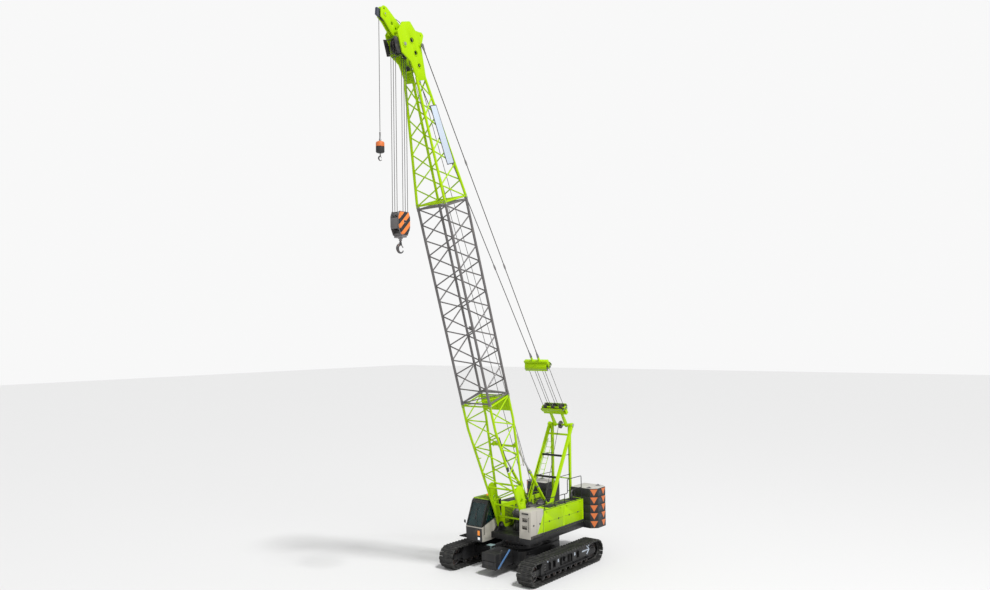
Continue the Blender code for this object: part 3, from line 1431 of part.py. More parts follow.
def build_boom(slew):
    luff = joint_empty("boom_axis", BOOM_PIN, slew)
    for name, make, finish in (("boom_foot", boom_foot, "green"),
                               ("boom_middle", boom_middle, "boom_grey"),
                               ("boom_top", boom_top, "green"),
                               ("boom_tip", boom_tip, "green")):
        item = make()
        item.data.transform(Matrix.Translation(BOOM_PIN) @ BOOM_TURN)
        part(name, item, finish, luff)
    head = joint_empty("head_axis", HEAD_AXIS, luff)
    part("head_sheaves", main_head_sheaves(), "steel", head)
    part("main_hoist_rope", main_hoist_rope(), "rope", head)
    fall = joint_empty("hook_block_place", (HEAD_AXIS.x, 0, BLOCK_SHEAVE_Z), head)
    part("hook_block", hook_block(), "grey", fall)
    part("block_sheaves", block_sheaves(), "steel", fall)
    part("main_hook", main_hook(), "dark", fall)
    tip = joint_empty("tip_axis", TIP_AXIS, luff)
    part("tip_sheave", tip_sheave(), "steel", tip)
    part("aux_hoist_rope", aux_hoist_rope(), "rope", tip)
    hanging = (TIP_AXIS.x + TIP_ROPE_RADIUS, 0, AUX_WEIGHT_TOP)
    weight = joint_empty("aux_weight_place", hanging, tip)
    part("aux_weight", aux_weight(), "orange", weight)
    part("aux_hook", aux_hook(), "dark", weight)


def build_stays(slew):
    pivot = joint_empty("backstop_axis", BACKSTOP_PIVOT, slew)
    for name, make, finish in (("backstop_barrel", backstop_barrel, "green"),
                               ("backstop_rod", backstop_rod, "steel")):
        item = make()
        part(name + "_right", mirrored(item), finish, pivot)
        part(name + "_left", item, finish, pivot)
    top = joint_empty("gantry_axis", GANTRY_TOP, slew)
    part("gantry_block", gantry_block(), "green", top)
    part("gantry_sheaves", stay_sheaves(BLOCK_SHEAVE_D), "steel", top)
    part("luffing_rope", luffing_rope(), "rope", top)
    part("bridle", bridle(), "green", top)
    part("bridle_sheaves", stay_sheaves(BRIDLE_SHEAVE_D), "steel", top)
    item = pendant()
    part("pendant_right", mirrored(item), "steel", top)
    part("pendant_left", item, "steel", top)


clear_scene()
parts = bpy.data.collections.new("crawler_crane")
bpy.context.scene.collection.children.link(parts)
build()
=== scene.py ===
"""Looks of a lattice-boom crawler crane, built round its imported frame.

Lengths are metres. The machine is modelled from its slew axis (x = 0), with +X
forward and +Y to its left, and each finished piece is then moved by SHIFT into
the row's frame. The boom is modelled lying along +X from its foot pin, and the
stays along +X from the gantry's pin, and both are then raised to their angles.
"""
import json
from math import atan2, cos, degrees, pi, radians, sin, tan

import bmesh
import bpy
from mathutils import Matrix, Vector

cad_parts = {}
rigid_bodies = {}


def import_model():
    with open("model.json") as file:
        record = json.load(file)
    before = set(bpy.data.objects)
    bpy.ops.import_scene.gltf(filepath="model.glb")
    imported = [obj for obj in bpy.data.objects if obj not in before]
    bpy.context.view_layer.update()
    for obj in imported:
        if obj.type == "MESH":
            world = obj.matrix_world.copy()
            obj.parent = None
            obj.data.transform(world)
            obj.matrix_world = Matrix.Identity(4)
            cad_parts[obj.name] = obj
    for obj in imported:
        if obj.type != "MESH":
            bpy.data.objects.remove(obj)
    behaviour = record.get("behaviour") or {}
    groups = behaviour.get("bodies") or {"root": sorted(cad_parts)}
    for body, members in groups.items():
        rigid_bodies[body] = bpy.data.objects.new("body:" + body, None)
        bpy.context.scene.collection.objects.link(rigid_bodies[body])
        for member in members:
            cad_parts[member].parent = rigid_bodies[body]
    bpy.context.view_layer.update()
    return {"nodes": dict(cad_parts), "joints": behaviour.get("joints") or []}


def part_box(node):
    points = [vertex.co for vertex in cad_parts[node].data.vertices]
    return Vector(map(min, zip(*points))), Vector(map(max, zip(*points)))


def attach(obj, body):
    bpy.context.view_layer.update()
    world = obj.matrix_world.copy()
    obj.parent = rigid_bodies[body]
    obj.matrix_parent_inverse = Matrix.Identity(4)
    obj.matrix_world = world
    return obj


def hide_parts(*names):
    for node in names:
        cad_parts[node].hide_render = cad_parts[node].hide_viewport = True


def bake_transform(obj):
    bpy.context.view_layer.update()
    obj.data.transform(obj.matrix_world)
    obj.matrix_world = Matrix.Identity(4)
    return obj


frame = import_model()
JOINTS = {joint["name"]: joint for joint in frame["joints"]}


def joint_place(name):
    return Vector(JOINTS[name]["pos_m"])


# --- places read from the frame ------------------------------------------
SHIFT = joint_place("slew").x
BOOM_PIN = joint_place("boom_luff") - Vector((SHIFT, 0, 0))
HEAD = joint_place("head_sheaves_spin") - Vector((SHIFT, 0, 0))
TIP = joint_place("tip_sheave_spin") - Vector((SHIFT, 0, 0))
GANTRY = joint_place("gantry_block_swing") - Vector((SHIFT, 0, 0))
BACKSTOP = joint_place("backstop_swing") - Vector((SHIFT, 0, 0))
STAY_LINE = Vector(JOINTS["bridle_travel"]["axis"])
BACKSTOP_LINE = Vector(JOINTS["backstop_slide"]["axis"])
STAY_ANGLE = atan2(STAY_LINE.z, STAY_LINE.x)
BACKSTOP_ANGLE = atan2(BACKSTOP_LINE.z, BACKSTOP_LINE.x)
DRUMS = {name: joint_place(name + "_spin") - Vector((SHIFT, 0, 0))
         for name in ("main_drum", "aux_drum", "luffing_drum")}

# --- sizes ---------------------------------------------------------------
LUFF = radians(72)
SEAT = 0.0003
TRACK_RADIUS = 0.53
TUMBLER_HALF = 2.5
GAUGE_HALF = 2.22
SHOE_WIDTH = 0.78
SHOES = 62
CHORD_Y = 0.78
CHORD_N = 0.70
CHORD_RADIUS = 0.058
LACING = 0.030
FOOT_END = 6.39
MIDDLE_END = 15.39
TOP_END = 20.60
TAPER = (0.8, 5.2)
FOOT_CHORD_N = 0.15
HEAD_CHORD_Y = 0.33
HEAD_CHORD_N = 0.25
JOINT_STRAIGHT = 0.20
PITCH = 0.6925
ROPE = 0.013
MAIN_ROPE = 0.30
TIP_ROPE = 0.23
STAY_ROPE = 0.19
RIM = 0.028
SHEAVE_PITCH = 0.13
STAY_SHEAVE_Y = 0.46
STAY_HALF = 0.68
DECK_SIDE = 1.50
DECK_TOP = 1.66
HOUSING_INNER = 0.89
HOUSING_TOP = 2.80
COVER_TOP = 2.92
COVER_FRONT = 1.46
SLAB = 0.385
SLAB_BOTTOM = 1.35
STACK_FRONT = -3.14
STACK_REAR = -4.42
STACK_HALF = 2.13
STACK_INNER = 0.75
STACK_CORNER = 0.28
CAB_INNER = -0.90
CAB_OUTER = -1.85
CAB_REAR = 0.42
CAB_FRONT = 1.93


# --- shaping helpers -----------------------------------------------------
def select_only(*items):
    for other in bpy.context.view_layer.objects.selected[:]:
        if other:
            other.select_set(False)
    for item in items:
        item.select_set(True)
    bpy.context.view_layer.objects.active = items[0]


select_only(next(iter(frame["nodes"].values())))
bpy.ops.object.select_all(action="DESELECT")


def settle():
    """Puts the active piece's place into its mesh."""
    bpy.ops.object.transform_apply(location=True, rotation=True, scale=True)
    return bpy.context.active_object


def modified(item, kind, **settings):
    change = item.modifiers.new(kind.lower(), kind)
    for name, value in settings.items():
        setattr(change, name, value)
    select_only(item)
    bpy.ops.object.modifier_apply(modifier=change.name)
    return item


def softened(item, width, segments=2, angle=30):
    return modified(item, "BEVEL", width=width, segments=segments,
                    limit_method="ANGLE", angle_limit=radians(angle))


def box(x0, x1, y0, y1, z0, z1, edge=0.006, segments=2):
    """A block with rounded edges."""
    x0, x1 = sorted((x0, x1))
    y0, y1 = sorted((y0, y1))
    size = (x1 - x0, y1 - y0, z1 - z0)
    middle = ((x0 + x1) / 2, (y0 + y1) / 2, (z0 + z1) / 2)
    bpy.ops.mesh.primitive_cube_add(size=1, location=middle, scale=size)
    item = settle()
    if edge:
        bpy.ops.object.mode_set(mode="EDIT")
        bpy.ops.mesh.select_all(action="SELECT")
        bpy.ops.mesh.bevel(offset=min(edge, min(size) * 0.4), segments=segments)
        bpy.ops.object.mode_set(mode="OBJECT")
    return item


def rod(start, end, radius, sides=20, edge=0.0):
    """A round bar between two points, its end edges rounded where edge is given."""
    start, end = Vector(start), Vector(end)
    along = end - start
    turn = along.to_track_quat("Z", "Y").to_euler()
    bpy.ops.mesh.primitive_cylinder_add(vertices=sides, radius=radius, depth=along.length,
                                        location=(start + end) / 2, rotation=turn)
    item = settle()
    if edge:
        softened(item, edge, 2, 60)
    return item


def bar(start, end, width, height, edge=0.004):
    """A square tube between two points, its width level."""
    start, end = Vector(start), Vector(end)
    along = (end - start).normalized()
    side = Vector((0, 1, 0)) if abs(along.y) < 0.9 else Vector((1, 0, 0))
    other = along.cross(side).normalized()
    side = other.cross(along).normalized()
    length = (end - start).length
    item = box(-width / 2, width / 2, -height / 2, height / 2, -length / 2, length / 2, edge)
    turn = Matrix((side, other, along)).transposed().to_4x4()
    item.data.transform(Matrix.Translation((start + end) / 2) @ turn)
    return item


def turned(profile, axis="Z", steps=32, place=(0, 0, 0), closed=True):
    """A profile of (radius, height) points spun about an axis."""
    mesh = bpy.data.meshes.new("profile")
    count = len(profile)
    edges = [(i, i + 1) for i in range(count - 1)] + ([(count - 1, 0)] if closed else [])
    mesh.from_pydata([(r, 0, h) for r, h in profile], edges, [])
    item = bpy.data.objects.new("turned", mesh)
    bpy.context.scene.collection.objects.link(item)
    select_only(item)
    bpy.ops.object.mode_set(mode="EDIT")
    bpy.ops.mesh.select_all(action="SELECT")
    bpy.ops.mesh.spin(steps=steps, angle=2 * pi, center=(0, 0, 0), axis=(0, 0, 1))
    bpy.ops.mesh.select_all(action="SELECT")
    bpy.ops.mesh.remove_doubles(threshold=0.00002)
    bpy.ops.mesh.normals_make_consistent(inside=False)
    bpy.ops.object.mode_set(mode="OBJECT")
    if axis == "Y":
        item.data.transform(Matrix.Rotation(pi / 2, 4, "X"))
    elif axis == "X":
        item.data.transform(Matrix.Rotation(pi / 2, 4, "Y"))
    item.data.transform(Matrix.Translation(place))
    return item


def arc(x, z, radius, start, sweep, steps):
    """Points on an arc, angles in degrees."""
    return [(x + radius * cos(radians(start + sweep * i / steps)),
             z + radius * sin(radians(start + sweep * i / steps)))
            for i in range(steps + 1)]


def disc(x, z, radius, steps=24):
    return arc(x, z, radius, 0, 360 * (steps - 1) / steps, steps - 1)


def converted(curve):
    item = bpy.data.objects.new("curve", curve)
    bpy.context.scene.collection.objects.link(item)
    select_only(item)
    bpy.ops.object.convert(target="MESH")
    item = bpy.context.active_object
    bpy.ops.object.mode_set(mode="EDIT")
    bpy.ops.mesh.select_all(action="SELECT")
    bpy.ops.mesh.remove_doubles(threshold=0.00001)
    bpy.ops.mesh.normals_make_consistent(inside=False)
    bpy.ops.object.mode_set(mode="OBJECT")
    return item


def sheet_metal(outlines, low, high, axis="Y", edge=0.003):
    """Flat outlines, the first solid and the rest holes, with rounded edges.

    They lie in XZ when the thickness runs along Y, XY along Z and YZ along X.
    """
    low, high = sorted((low, high))
    curve = bpy.data.curves.new("outline", "CURVE")
    curve.dimensions = "2D"
    curve.fill_mode = "BOTH"
    edge = min(edge, (high - low) * 0.4)
    curve.extrude = (high - low) / 2 - edge
    curve.bevel_depth = edge
    curve.offset = -edge
    curve.bevel_resolution = 1
    for outline in outlines:
        spline = curve.splines.new("POLY")
        spline.points.add(len(outline) - 1)
        for point, (u, v) in zip(spline.points, outline):
            point.co = (u, v, 0, 1)
        spline.use_cyclic_u = True
    item = converted(curve)
    middle = (low + high) / 2
    if axis == "Y":
        turn = Matrix.Translation((0, middle, 0)) @ Matrix.Rotation(pi / 2, 4, "X")
    elif axis == "X":
        turn = Matrix(((0, 0, 1, middle), (1, 0, 0, 0), (0, 1, 0, 0), (0, 0, 0, 1)))
    else:
        turn = Matrix.Translation((0, 0, middle))
    item.data.transform(turn)
    return item


def tube(points, radius, bend=0.0, resolution=4, widths=None):
    """A round tube through points, its corners bent where bend is given."""
    route = [Vector(p) for p in points]
    if bend:
        route = rounded_route(route, bend)
    curve = bpy.data.curves.new("tube", "CURVE")
    curve.dimensions = "3D"
    curve.bevel_depth = radius
    curve.bevel_resolution = resolution
    curve.use_fill_caps = True
    spline = curve.splines.new("POLY")
    spline.points.add(len(route) - 1)
    for i, (point, place) in enumerate(zip(spline.points, route)):
        point.co = (*place, 1)
        point.radius = widths[i] if widths else 1
    return converted(curve)


def rounded_route(route, bend):
    """Replaces each inner corner with a short arc."""
    made = [route[0]]
    for before, corner, after in zip(route, route[1:], route[2:]):
        back = (before - corner).normalized()
        ahead = (after - corner).normalized()
        reach = min(bend, (before - corner).length / 2, (after - corner).length / 2)
        for share in (0, 0.25, 0.5, 0.75, 1):
            near = corner + back * reach * (1 - share)
            far = corner + ahead * reach * share
            made.append(near.lerp(far, share))
    return made + [route[-1]]


def copied(item, turn=None):
    """A copy with its own mesh, moved by a matrix."""
    copy = item.copy()
    copy.data = item.data.copy()
    bpy.context.scene.collection.objects.link(copy)
    if turn is not None:
        copy.data.transform(turn)
        if turn.determinant() < 0:
            copy.data.flip_normals()
    return copy


def across(item):
    """The same shape on the machine's other side."""
    return copied(item, Matrix.Scale(-1, 4, (0, 1, 0)))


def shifted(item, x=0.0, y=0.0, z=0.0):
    return copied(item, Matrix.Translation((x, y, z)))


def joined(items):
    select_only(*items)
    if len(items) > 1:
        bpy.ops.object.join()
    return bpy.context.active_object


def cut(item, *cutters):
    for cutter in cutters:
        modified(item, "BOOLEAN", object=cutter, operation="DIFFERENCE", solver="EXACT")
        bpy.data.objects.remove(cutter)
    return item


def removed(*items):
    for item in items:
        bpy.data.objects.remove(item)


def raised(item, angle, pivot):
    """Turns a piece modelled along +X up to an angle, about a pivot."""
    turn = Matrix.Translation(pivot) @ Matrix.Rotation(-angle, 4, "Y")
    item.data.transform(turn)
    return item


def bolts(points, direction, radius=0.014, height=0.012):
    """Hexagon heads with washers at points, standing out along a direction."""
    direction = Vector(direction).normalized()
    bpy.ops.mesh.primitive_cylinder_add(vertices=6, radius=radius, depth=height,
                                        location=(0, 0, height * 0.75))
    head = softened(settle(), radius * 0.12, 1, 50)
    bpy.ops.mesh.primitive_cylinder_add(vertices=12, radius=radius * 1.35, depth=height * 0.3,
                                        location=(0, 0, height * 0.13))
    washer = settle()
    model = joined([head, washer])
    turn = direction.to_track_quat("Z", "Y").to_matrix().to_4x4()
    made = [copied(model, Matrix.Translation(Vector(p)) @ turn) for p in points]
    removed(model)
    return joined(made)


def dressed(node, edge=0.006, segments=2):
    """A CAD node's shape as clean faces with rounded edges, in the machine frame."""
    source = frame["nodes"][node]
    item = copied(source)
    item.parent = None
    for key in list(item.keys()):
        del item[key]
    item.data.materials.clear()
    item.data.transform(Matrix.Translation((-SHIFT, 0, 0)))
    select_only(item)
    bpy.ops.object.mode_set(mode="EDIT")
    bpy.ops.mesh.select_all(action="SELECT")
    bpy.ops.mesh.remove_doubles(threshold=0.0001)
    bpy.ops.mesh.dissolve_limited(angle_limit=radians(1))
    bpy.ops.object.mode_set(mode="OBJECT")
    if edge:
        softened(item, edge, segments, 35)
    return item


def piece(name, items, body, material, replaces=(), smooth=30):
    """Joins items into one finished piece that rides on a body."""
    item = joined(items if isinstance(items, list) else [items])
    item.name = name
    item.data.name = name
    item.data.transform(Matrix.Translation((SHIFT, 0, 0)))
    item.data.materials.clear()
    item.data.materials.append(material)
    select_only(item)
    bpy.ops.object.shade_smooth_by_angle(angle=radians(smooth))
    if body:
        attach(item, body)
    if replaces:
        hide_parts(*([replaces] if isinstance(replaces, str) else replaces))
    return item


# --- materials -----------------------------------------------------------
class Maths:
    """A shader socket that takes part in Python expressions."""

    def __init__(self, finish, socket):
        self.finish = finish
        self.socket = socket

    def _with(self, other, operation, swapped=False):
        values = (other, self) if swapped else (self, other)
        return self.finish.node("ShaderNodeMath", {"operation": operation}, {0: values[0], 1: values[1]})

    def __add__(self, other):
        return self._with(other, "ADD")

    def __mul__(self, other):
        return self._with(other, "MULTIPLY")

    def __sub__(self, other):
        return self._with(other, "SUBTRACT")

    def __rsub__(self, other):
        return self._with(other, "SUBTRACT", True)

    def __gt__(self, other):
        return self._with(other, "GREATER_THAN")

    __radd__ = __add__
    __rmul__ = __mul__


class Finish:
    """A material under construction, round one Principled shader."""

    def __init__(self, name, colour, roughness, metallic=0.0):
        self.material = bpy.data.materials.new(name)
        self.material.use_nodes = True
        self.tree = self.material.node_tree
        self.shader = self.tree.nodes["Principled BSDF"]
        self.shader.inputs["Base Color"].default_value = (*colour, 1)
        self.shader.inputs["Roughness"].default_value = roughness
        self.shader.inputs["Metallic"].default_value = metallic
        self.place = self.node("ShaderNodeTexCoord", {}, {}, "Object")

    def node(self, kind, settings, values, output=0):
        made = self.tree.nodes.new(kind)
        for name, value in settings.items():
            if name == "ramp":
                for spot, (at, shade) in zip(made.color_ramp.elements, value):
                    spot.position = at
                    spot.color = (shade, shade, shade, 1)
            else:
                setattr(made, name, value)
        for name, value in values.items():
            self.feed(made.inputs[name], value)
        return Maths(self, made.outputs[output])

    def feed(self, target, value):
        if isinstance(value, Maths):
            self.tree.links.new(value.socket, target)
        else:
            target.default_value = value

    def set(self, name, value):
        self.feed(self.shader.inputs[name], value)

    def noise(self, scale, detail=4.0, stretch=(1, 1, 1)):
        where = self.node("ShaderNodeVectorMath", {"operation": "MULTIPLY"},
                          {0: self.place, 1: stretch})
        return self.node("ShaderNodeTexNoise", {}, {"Vector": where, "Scale": scale, "Detail": detail})

    def mask(self, value, low, high):
        return self.node("ShaderNodeMapRange", {"clamp": True},
                         {"Value": value, "From Min": low, "From Max": high})

    def mix(self, share, first, second):
        return self.node("ShaderNodeMix", {"data_type": "RGBA"},
                         {0: share, 6: rgba(first), 7: rgba(second)}, 2)

    def axis(self, index):
        return self.node("ShaderNodeSeparateXYZ", {}, {"Vector": self.place}, index)

    def bump(self, height, strength, distance=0.002):
        self.set("Normal", self.node("ShaderNodeBump", {},
                                     {"Strength": strength, "Distance": distance, "Height": height}))


def rgba(colour):
    return colour if isinstance(colour, Maths) else (*colour, 1)


DUST = (0.36, 0.32, 0.26)
GRIME = (0.035, 0.03, 0.026)
RUST = (0.16, 0.055, 0.02)


def painted(name, colour, roughness, coat=0.0, wear=0.5, dust=0.25, shine=0.5):
    """Enamel with uneven gloss, streaks below edges, chips and a film of dust."""
    finish = Finish(name, colour, roughness)
    broad = finish.noise(0.9, 3)
    streaks = finish.noise(3.0, 5, (2.2, 2.2, 0.16))
    speck = finish.noise(38, 6)
    tone = finish.mix(finish.mask(broad, 0.3, 0.75) * 0.25, colour, tuple(c * 0.78 for c in colour))
    streaked = finish.mix(finish.mask(streaks, 0.56, 0.80) * dust, tone, DUST)
    chips = finish.mask(speck, 0.70, 0.74) * finish.mask(broad, 0.45, 0.6) * wear
    finish.set("Base Color", finish.mix(chips, streaked, GRIME))
    finish.set("Roughness", finish.mask(streaks, 0.3, 0.8) * 0.22 + roughness - 0.08 + chips * 0.3)
    finish.set("Coat Weight", coat)
    finish.set("Coat Roughness", 0.12)
    finish.set("Specular IOR Level", shine)
    finish.bump(finish.noise(240, 2) * 0.25 - chips * 0.6, 0.12)
    return finish.material


def worn_steel(name, colour, roughness, rust=0.3, metallic=0.85):
    """Bare metal with rubbing marks, stains and rust in the low spots."""
    finish = Finish(name, colour, roughness, metallic)
    blotch = finish.noise(5.5, 6)
    fine = finish.noise(70, 5)
    stain = finish.mask(blotch, 0.48, 0.72) * rust
    finish.set("Base Color", finish.mix(stain, finish.mix(fine * 0.35, colour, GRIME), RUST))
    finish.set("Metallic", metallic - stain * metallic)
    finish.set("Roughness", finish.mask(fine, 0.3, 0.7) * 0.2 + stain * 0.4 + roughness - 0.1)
    finish.bump(fine, 0.25)
    return finish.material


def track_iron():
    """Shoes and links: dark cast metal, polished on the grousers, dust between."""
    finish = Finish("track_steel", (0.10, 0.10, 0.10), 0.5, 0.5)
    soil = finish.noise(7, 8)
    grit = finish.noise(90, 4)
    mud = finish.mask(soil, 0.46, 0.64)
    finish.set("Base Color", finish.mix(mud * 0.65, finish.mix(grit * 0.5, (0.028, 0.028, 0.028), (0.075, 0.075, 0.073)),
                                        (0.058, 0.056, 0.051)))
    finish.set("Specular IOR Level", 0.35)
    finish.set("Metallic", 0.5 - mud * 0.5)
    finish.set("Roughness", mud * 0.35 + 0.5)
    finish.bump(soil * 0.6 + grit * 0.4, 0.6, 0.004)
    return finish.material


def wire(name, colour):
    """Laid wire: helical strands as slanting ridges, the grooves between them darkened with painted shade."""
    finish = Finish(name, colour, 0.5, 0.75)
    slant = finish.node("ShaderNodeTexWave", {"wave_type": "BANDS", "bands_direction": "DIAGONAL"},
                        {"Vector": finish.place, "Scale": 24.0, "Distortion": 0.6})
    grease = finish.noise(6, 4)
    # Base colour darker where the ridge pattern is low: painted shade in the grooves between strands
    finish.set("Base Color", finish.mix(slant * 0.6, tuple(c * 0.35 for c in colour), colour))
    finish.set("Roughness", finish.mask(grease, 0.4, 0.7) * 0.3 + 0.32)
    finish.bump(slant, 0.9, 0.003)
    return finish.material


def striped(name, light, dark, width, direction):
    """Slanting warning stripes."""
    finish = Finish(name, light, 0.45)
    x, y, z = (finish.axis(i) for i in range(3))
    run = x * direction[0] + y * direction[1] + z * direction[2]
    share = finish.node("ShaderNodeMath", {"operation": "FRACT"}, {0: run * (1 / width)})
    scuff = finish.noise(30, 6)
    chips = finish.mask(scuff, 0.62, 0.70) * 0.6
    bands = finish.mix(share > 0.5, light, dark)
    finish.set("Base Color", finish.mix(chips, bands, GRIME))
    finish.set("Roughness", chips * 0.3 + 0.42)
    finish.bump(scuff, 0.15)
    return finish.material


def tinted_glass():
    finish = Finish("cab_glass", (0.01, 0.05, 0.05), 0.03)
    film = finish.mask(finish.noise(2.5, 6, (1, 1, 0.5)), 0.45, 0.85)
    finish.set("Base Color", finish.mix(film * 0.15, (0.006, 0.032, 0.034), (0.10, 0.13, 0.13)))
    finish.set("Alpha", film * 0.1 + 0.72)
    finish.set("Roughness", film * 0.15 + 0.03)
    finish.set("Specular IOR Level", 0.8)
    return finish.material


def moulded(name, colour, roughness, grain=420):
    """Moulded black plastic or rubber with a fine grain and pale dust."""
    finish = Finish(name, colour, roughness)
    leather = finish.node("ShaderNodeTexVoronoi", {"feature": "F1"}, {"Vector": finish.place, "Scale": grain})
    dust = finish.mask(finish.noise(3, 6), 0.5, 0.8)
    finish.set("Base Color", finish.mix(dust * 0.25, colour, DUST))
    finish.set("Roughness", dust * 0.2 + roughness)
    finish.bump(leather, 0.35, 0.0015)
    return finish.material


def lamp_glass(name, colour, glow):
    finish = Finish(name, colour, 0.12)
    ribs = finish.node("ShaderNodeTexWave", {"wave_type": "BANDS", "bands_direction": "Z"},
                       {"Vector": finish.place, "Scale": 30.0})
    finish.set("Base Color", finish.mix(ribs * 0.4, colour, tuple(c * 0.6 for c in colour)))
    finish.set("Emission Color", (*colour, 1))
    finish.set("Emission Strength", glow)
    finish.bump(ribs, 0.4, 0.003)
    return finish.material


GREEN = painted("green_paint", (0.37, 0.61, 0.0), 0.45, 0.04, 0.35, 0.02, 0.12)
GREY = painted("grey_paint", (0.44, 0.415, 0.365), 0.45, 0.1, 0.5, 0.22)
BOOM_GREY = painted("boom_grey", (0.13, 0.122, 0.122), 0.42, 0.1, 0.6, 0.2)
DARK = painted("dark_paint", (0.015, 0.015, 0.016), 0.45, 0.0, 0.6, 0.08, 0.35)
SLAB_PAINT = painted("slab_paint", (0.028, 0.028, 0.030), 0.5, 0.0, 0.7, 0.08, 0.35)
SLAB_TOP = painted("slab_top_paint", (0.46, 0.45, 0.42), 0.6, 0.0, 0.6, 0.5)
ORANGE = painted("orange_paint", (0.62, 0.15, 0.03), 0.45, 0.1, 0.5, 0.2)
WHITE = painted("white_plate", (0.50, 0.57, 0.66), 0.4, 0.1, 0.2, 0.15)
BLUE = painted("blue_paint", (0.07, 0.17, 0.36), 0.4, 0.1, 0.6, 0.4)
TEAL = painted("teal_paint", (0.26, 0.36, 0.36), 0.45, 0.0, 0.5, 0.3)
BLUE_BLACK = painted("lifting_eye_paint", (0.02, 0.03, 0.06), 0.45, 0.1, 0.5, 0.2)
STEEL = worn_steel("bare_steel", (0.32, 0.32, 0.33), 0.38, 0.35)
BRIGHT = worn_steel("polished_rod", (0.62, 0.62, 0.64), 0.22, 0.05)
SHEAVE_STEEL = worn_steel("sheave_steel", (0.13, 0.13, 0.135), 0.45, 0.45)
TRACK = track_iron()
WIRE = wire("wire_rope", (0.20, 0.195, 0.19))
STRIPES = striped("warning_stripes", (0.82, 0.22, 0.04), (0.02, 0.02, 0.022), 0.30, (0.7, 0, 0.7))
GLASS = tinted_glass()
PLASTIC = moulded("black_plastic", (0.018, 0.018, 0.019), 0.5)
BLACK = painted("black_cab_paint", (0.010, 0.011, 0.012), 0.25, 0.3, 0.2, 0.05)
VINYL = moulded("seat_vinyl", (0.022, 0.022, 0.026), 0.55, 900)
AMBER = lamp_glass("amber_lamp", (0.9, 0.28, 0.03), 0.25)
CLEAR = lamp_glass("clear_lamp", (0.85, 0.88, 0.9), 0.3)


# --- camera and studio ---------------------------------------------------
def camera_and_light():
    camera = bpy.data.objects.new("camera", bpy.data.cameras.new("camera"))
    bpy.context.scene.collection.objects.link(camera)
    camera.data.sensor_width = 36
    camera.data.lens = 28.88
    camera.data.shift_x = 0.0351
    camera.data.shift_y = 0.0219
    camera.data.clip_end = 500
    yaw, pitch, roll = radians(-139.864), radians(1.478), -0.01327
    ahead = Vector((cos(yaw) * cos(pitch), sin(yaw) * cos(pitch), sin(pitch)))
    level = ahead.to_track_quat("-Z", "Y").to_matrix().to_4x4()
    camera.matrix_world = (Matrix.Translation((30.802 + SHIFT, 22.31, 10.796)) @ level
                           @ Matrix.Rotation(roll, 4, "Z"))
    bpy.context.scene.camera = camera
    bpy.ops.mesh.primitive_plane_add(size=400, location=(0, 0, 0))
    floor = settle()
    floor.name = "floor"
    ground = Finish("studio_floor", (0.66, 0.66, 0.66), 0.9)
    ground.bump(ground.noise(3, 4), 0.03)
    floor.data.materials.append(ground.material)
    world = bpy.data.worlds.new("soft_sky")
    world.use_nodes = True
    world.node_tree.nodes["Background"].inputs[0].default_value = (1.0, 1.0, 1.0, 1)
    tree = world.node_tree
    rays = tree.nodes.new("ShaderNodeLightPath")
    level_of = tree.nodes.new("ShaderNodeMath")
    level_of.operation = "MULTIPLY_ADD"
    tree.links.new(rays.outputs["Is Camera Ray"], level_of.inputs[0])
    level_of.inputs[1].default_value = 0.37
    level_of.inputs[2].default_value = 0.57
    tree.links.new(level_of.outputs[0], tree.nodes["Background"].inputs[1])
    bpy.context.scene.world = world
    bpy.context.scene.view_settings.view_transform = "Standard"
    for name, place, energy, size in (("key", (14, 28, 38), 4200, 14), ("side", (6, 42, 14), 1500, 18)):
        lamp = bpy.data.lights.new(name, "AREA")
        lamp.energy = energy
        lamp.size = size
        light = bpy.data.objects.new(name, lamp)
        light.location = place
        light.rotation_euler = (Vector((0, 0, 6)) - Vector(place)).to_track_quat("-Z", "Y").to_euler()
        bpy.context.scene.collection.objects.link(light)
    sun = bpy.data.lights.new("sun", "SUN")
    sun.energy = 2.5
    sun.angle = radians(7)
    sky = bpy.data.objects.new("sun", sun)
    sky.rotation_euler = Vector((-0.16, -0.52, -1.0)).to_track_quat("-Z", "Y").to_euler()
    bpy.context.scene.collection.objects.link(sky)


# --- boom ----------------------------------------------------------------
def chord_at(s):
    """Half width and half depth of the boom, from its foot pin."""
    if s < TAPER[1]:
        share = max(0.0, (s - TAPER[0]) / (TAPER[1] - TAPER[0]))
        return CHORD_Y, FOOT_CHORD_N + (CHORD_N - FOOT_CHORD_N) * share
    bend = MIDDLE_END + JOINT_STRAIGHT
    if s <= bend:
        return CHORD_Y, CHORD_N
    share = (s - bend) / (TOP_END - bend)
    return CHORD_Y + (HEAD_CHORD_Y - CHORD_Y) * share, CHORD_N + (HEAD_CHORD_N - CHORD_N) * share


def corner(s, side, back):
    half_y, half_n = chord_at(s)
    return Vector((s, side * half_y, back * half_n))


def chords(start, end):
    stops = [s for s in (TAPER[0], TAPER[1], MIDDLE_END + JOINT_STRAIGHT) if start < s < end]
    return [tube([corner(s, side, back) for s in [start, *stops, end]], CHORD_RADIUS, resolution=5)
            for side in (-1, 1) for back in (-1, 1)]


def lacing_tube(start, end):
    """A diagonal with a weld bead at both ends."""
    along = (end - start).normalized()
    beads = [rod(spot, spot + along * 0.012 * turn, LACING + 0.008, 12)
             for spot, turn in ((start + along * CHORD_RADIUS, 1), (end - along * CHORD_RADIUS, -1))]
    return joined([rod(start, end, LACING, 12)] + beads)


def zigzag(first, last, start, end, flip):
    steps = round((end - start) / PITCH)
    made = []
    for i in range(steps):
        s0 = start + (end - start) * i / steps
        s1 = start + (end - start) * (i + 1) / steps
        a, b = (first, last) if (i + flip) % 2 == 0 else (last, first)
        made.append(lacing_tube(corner(s0, *a), corner(s1, *b)))
    return made


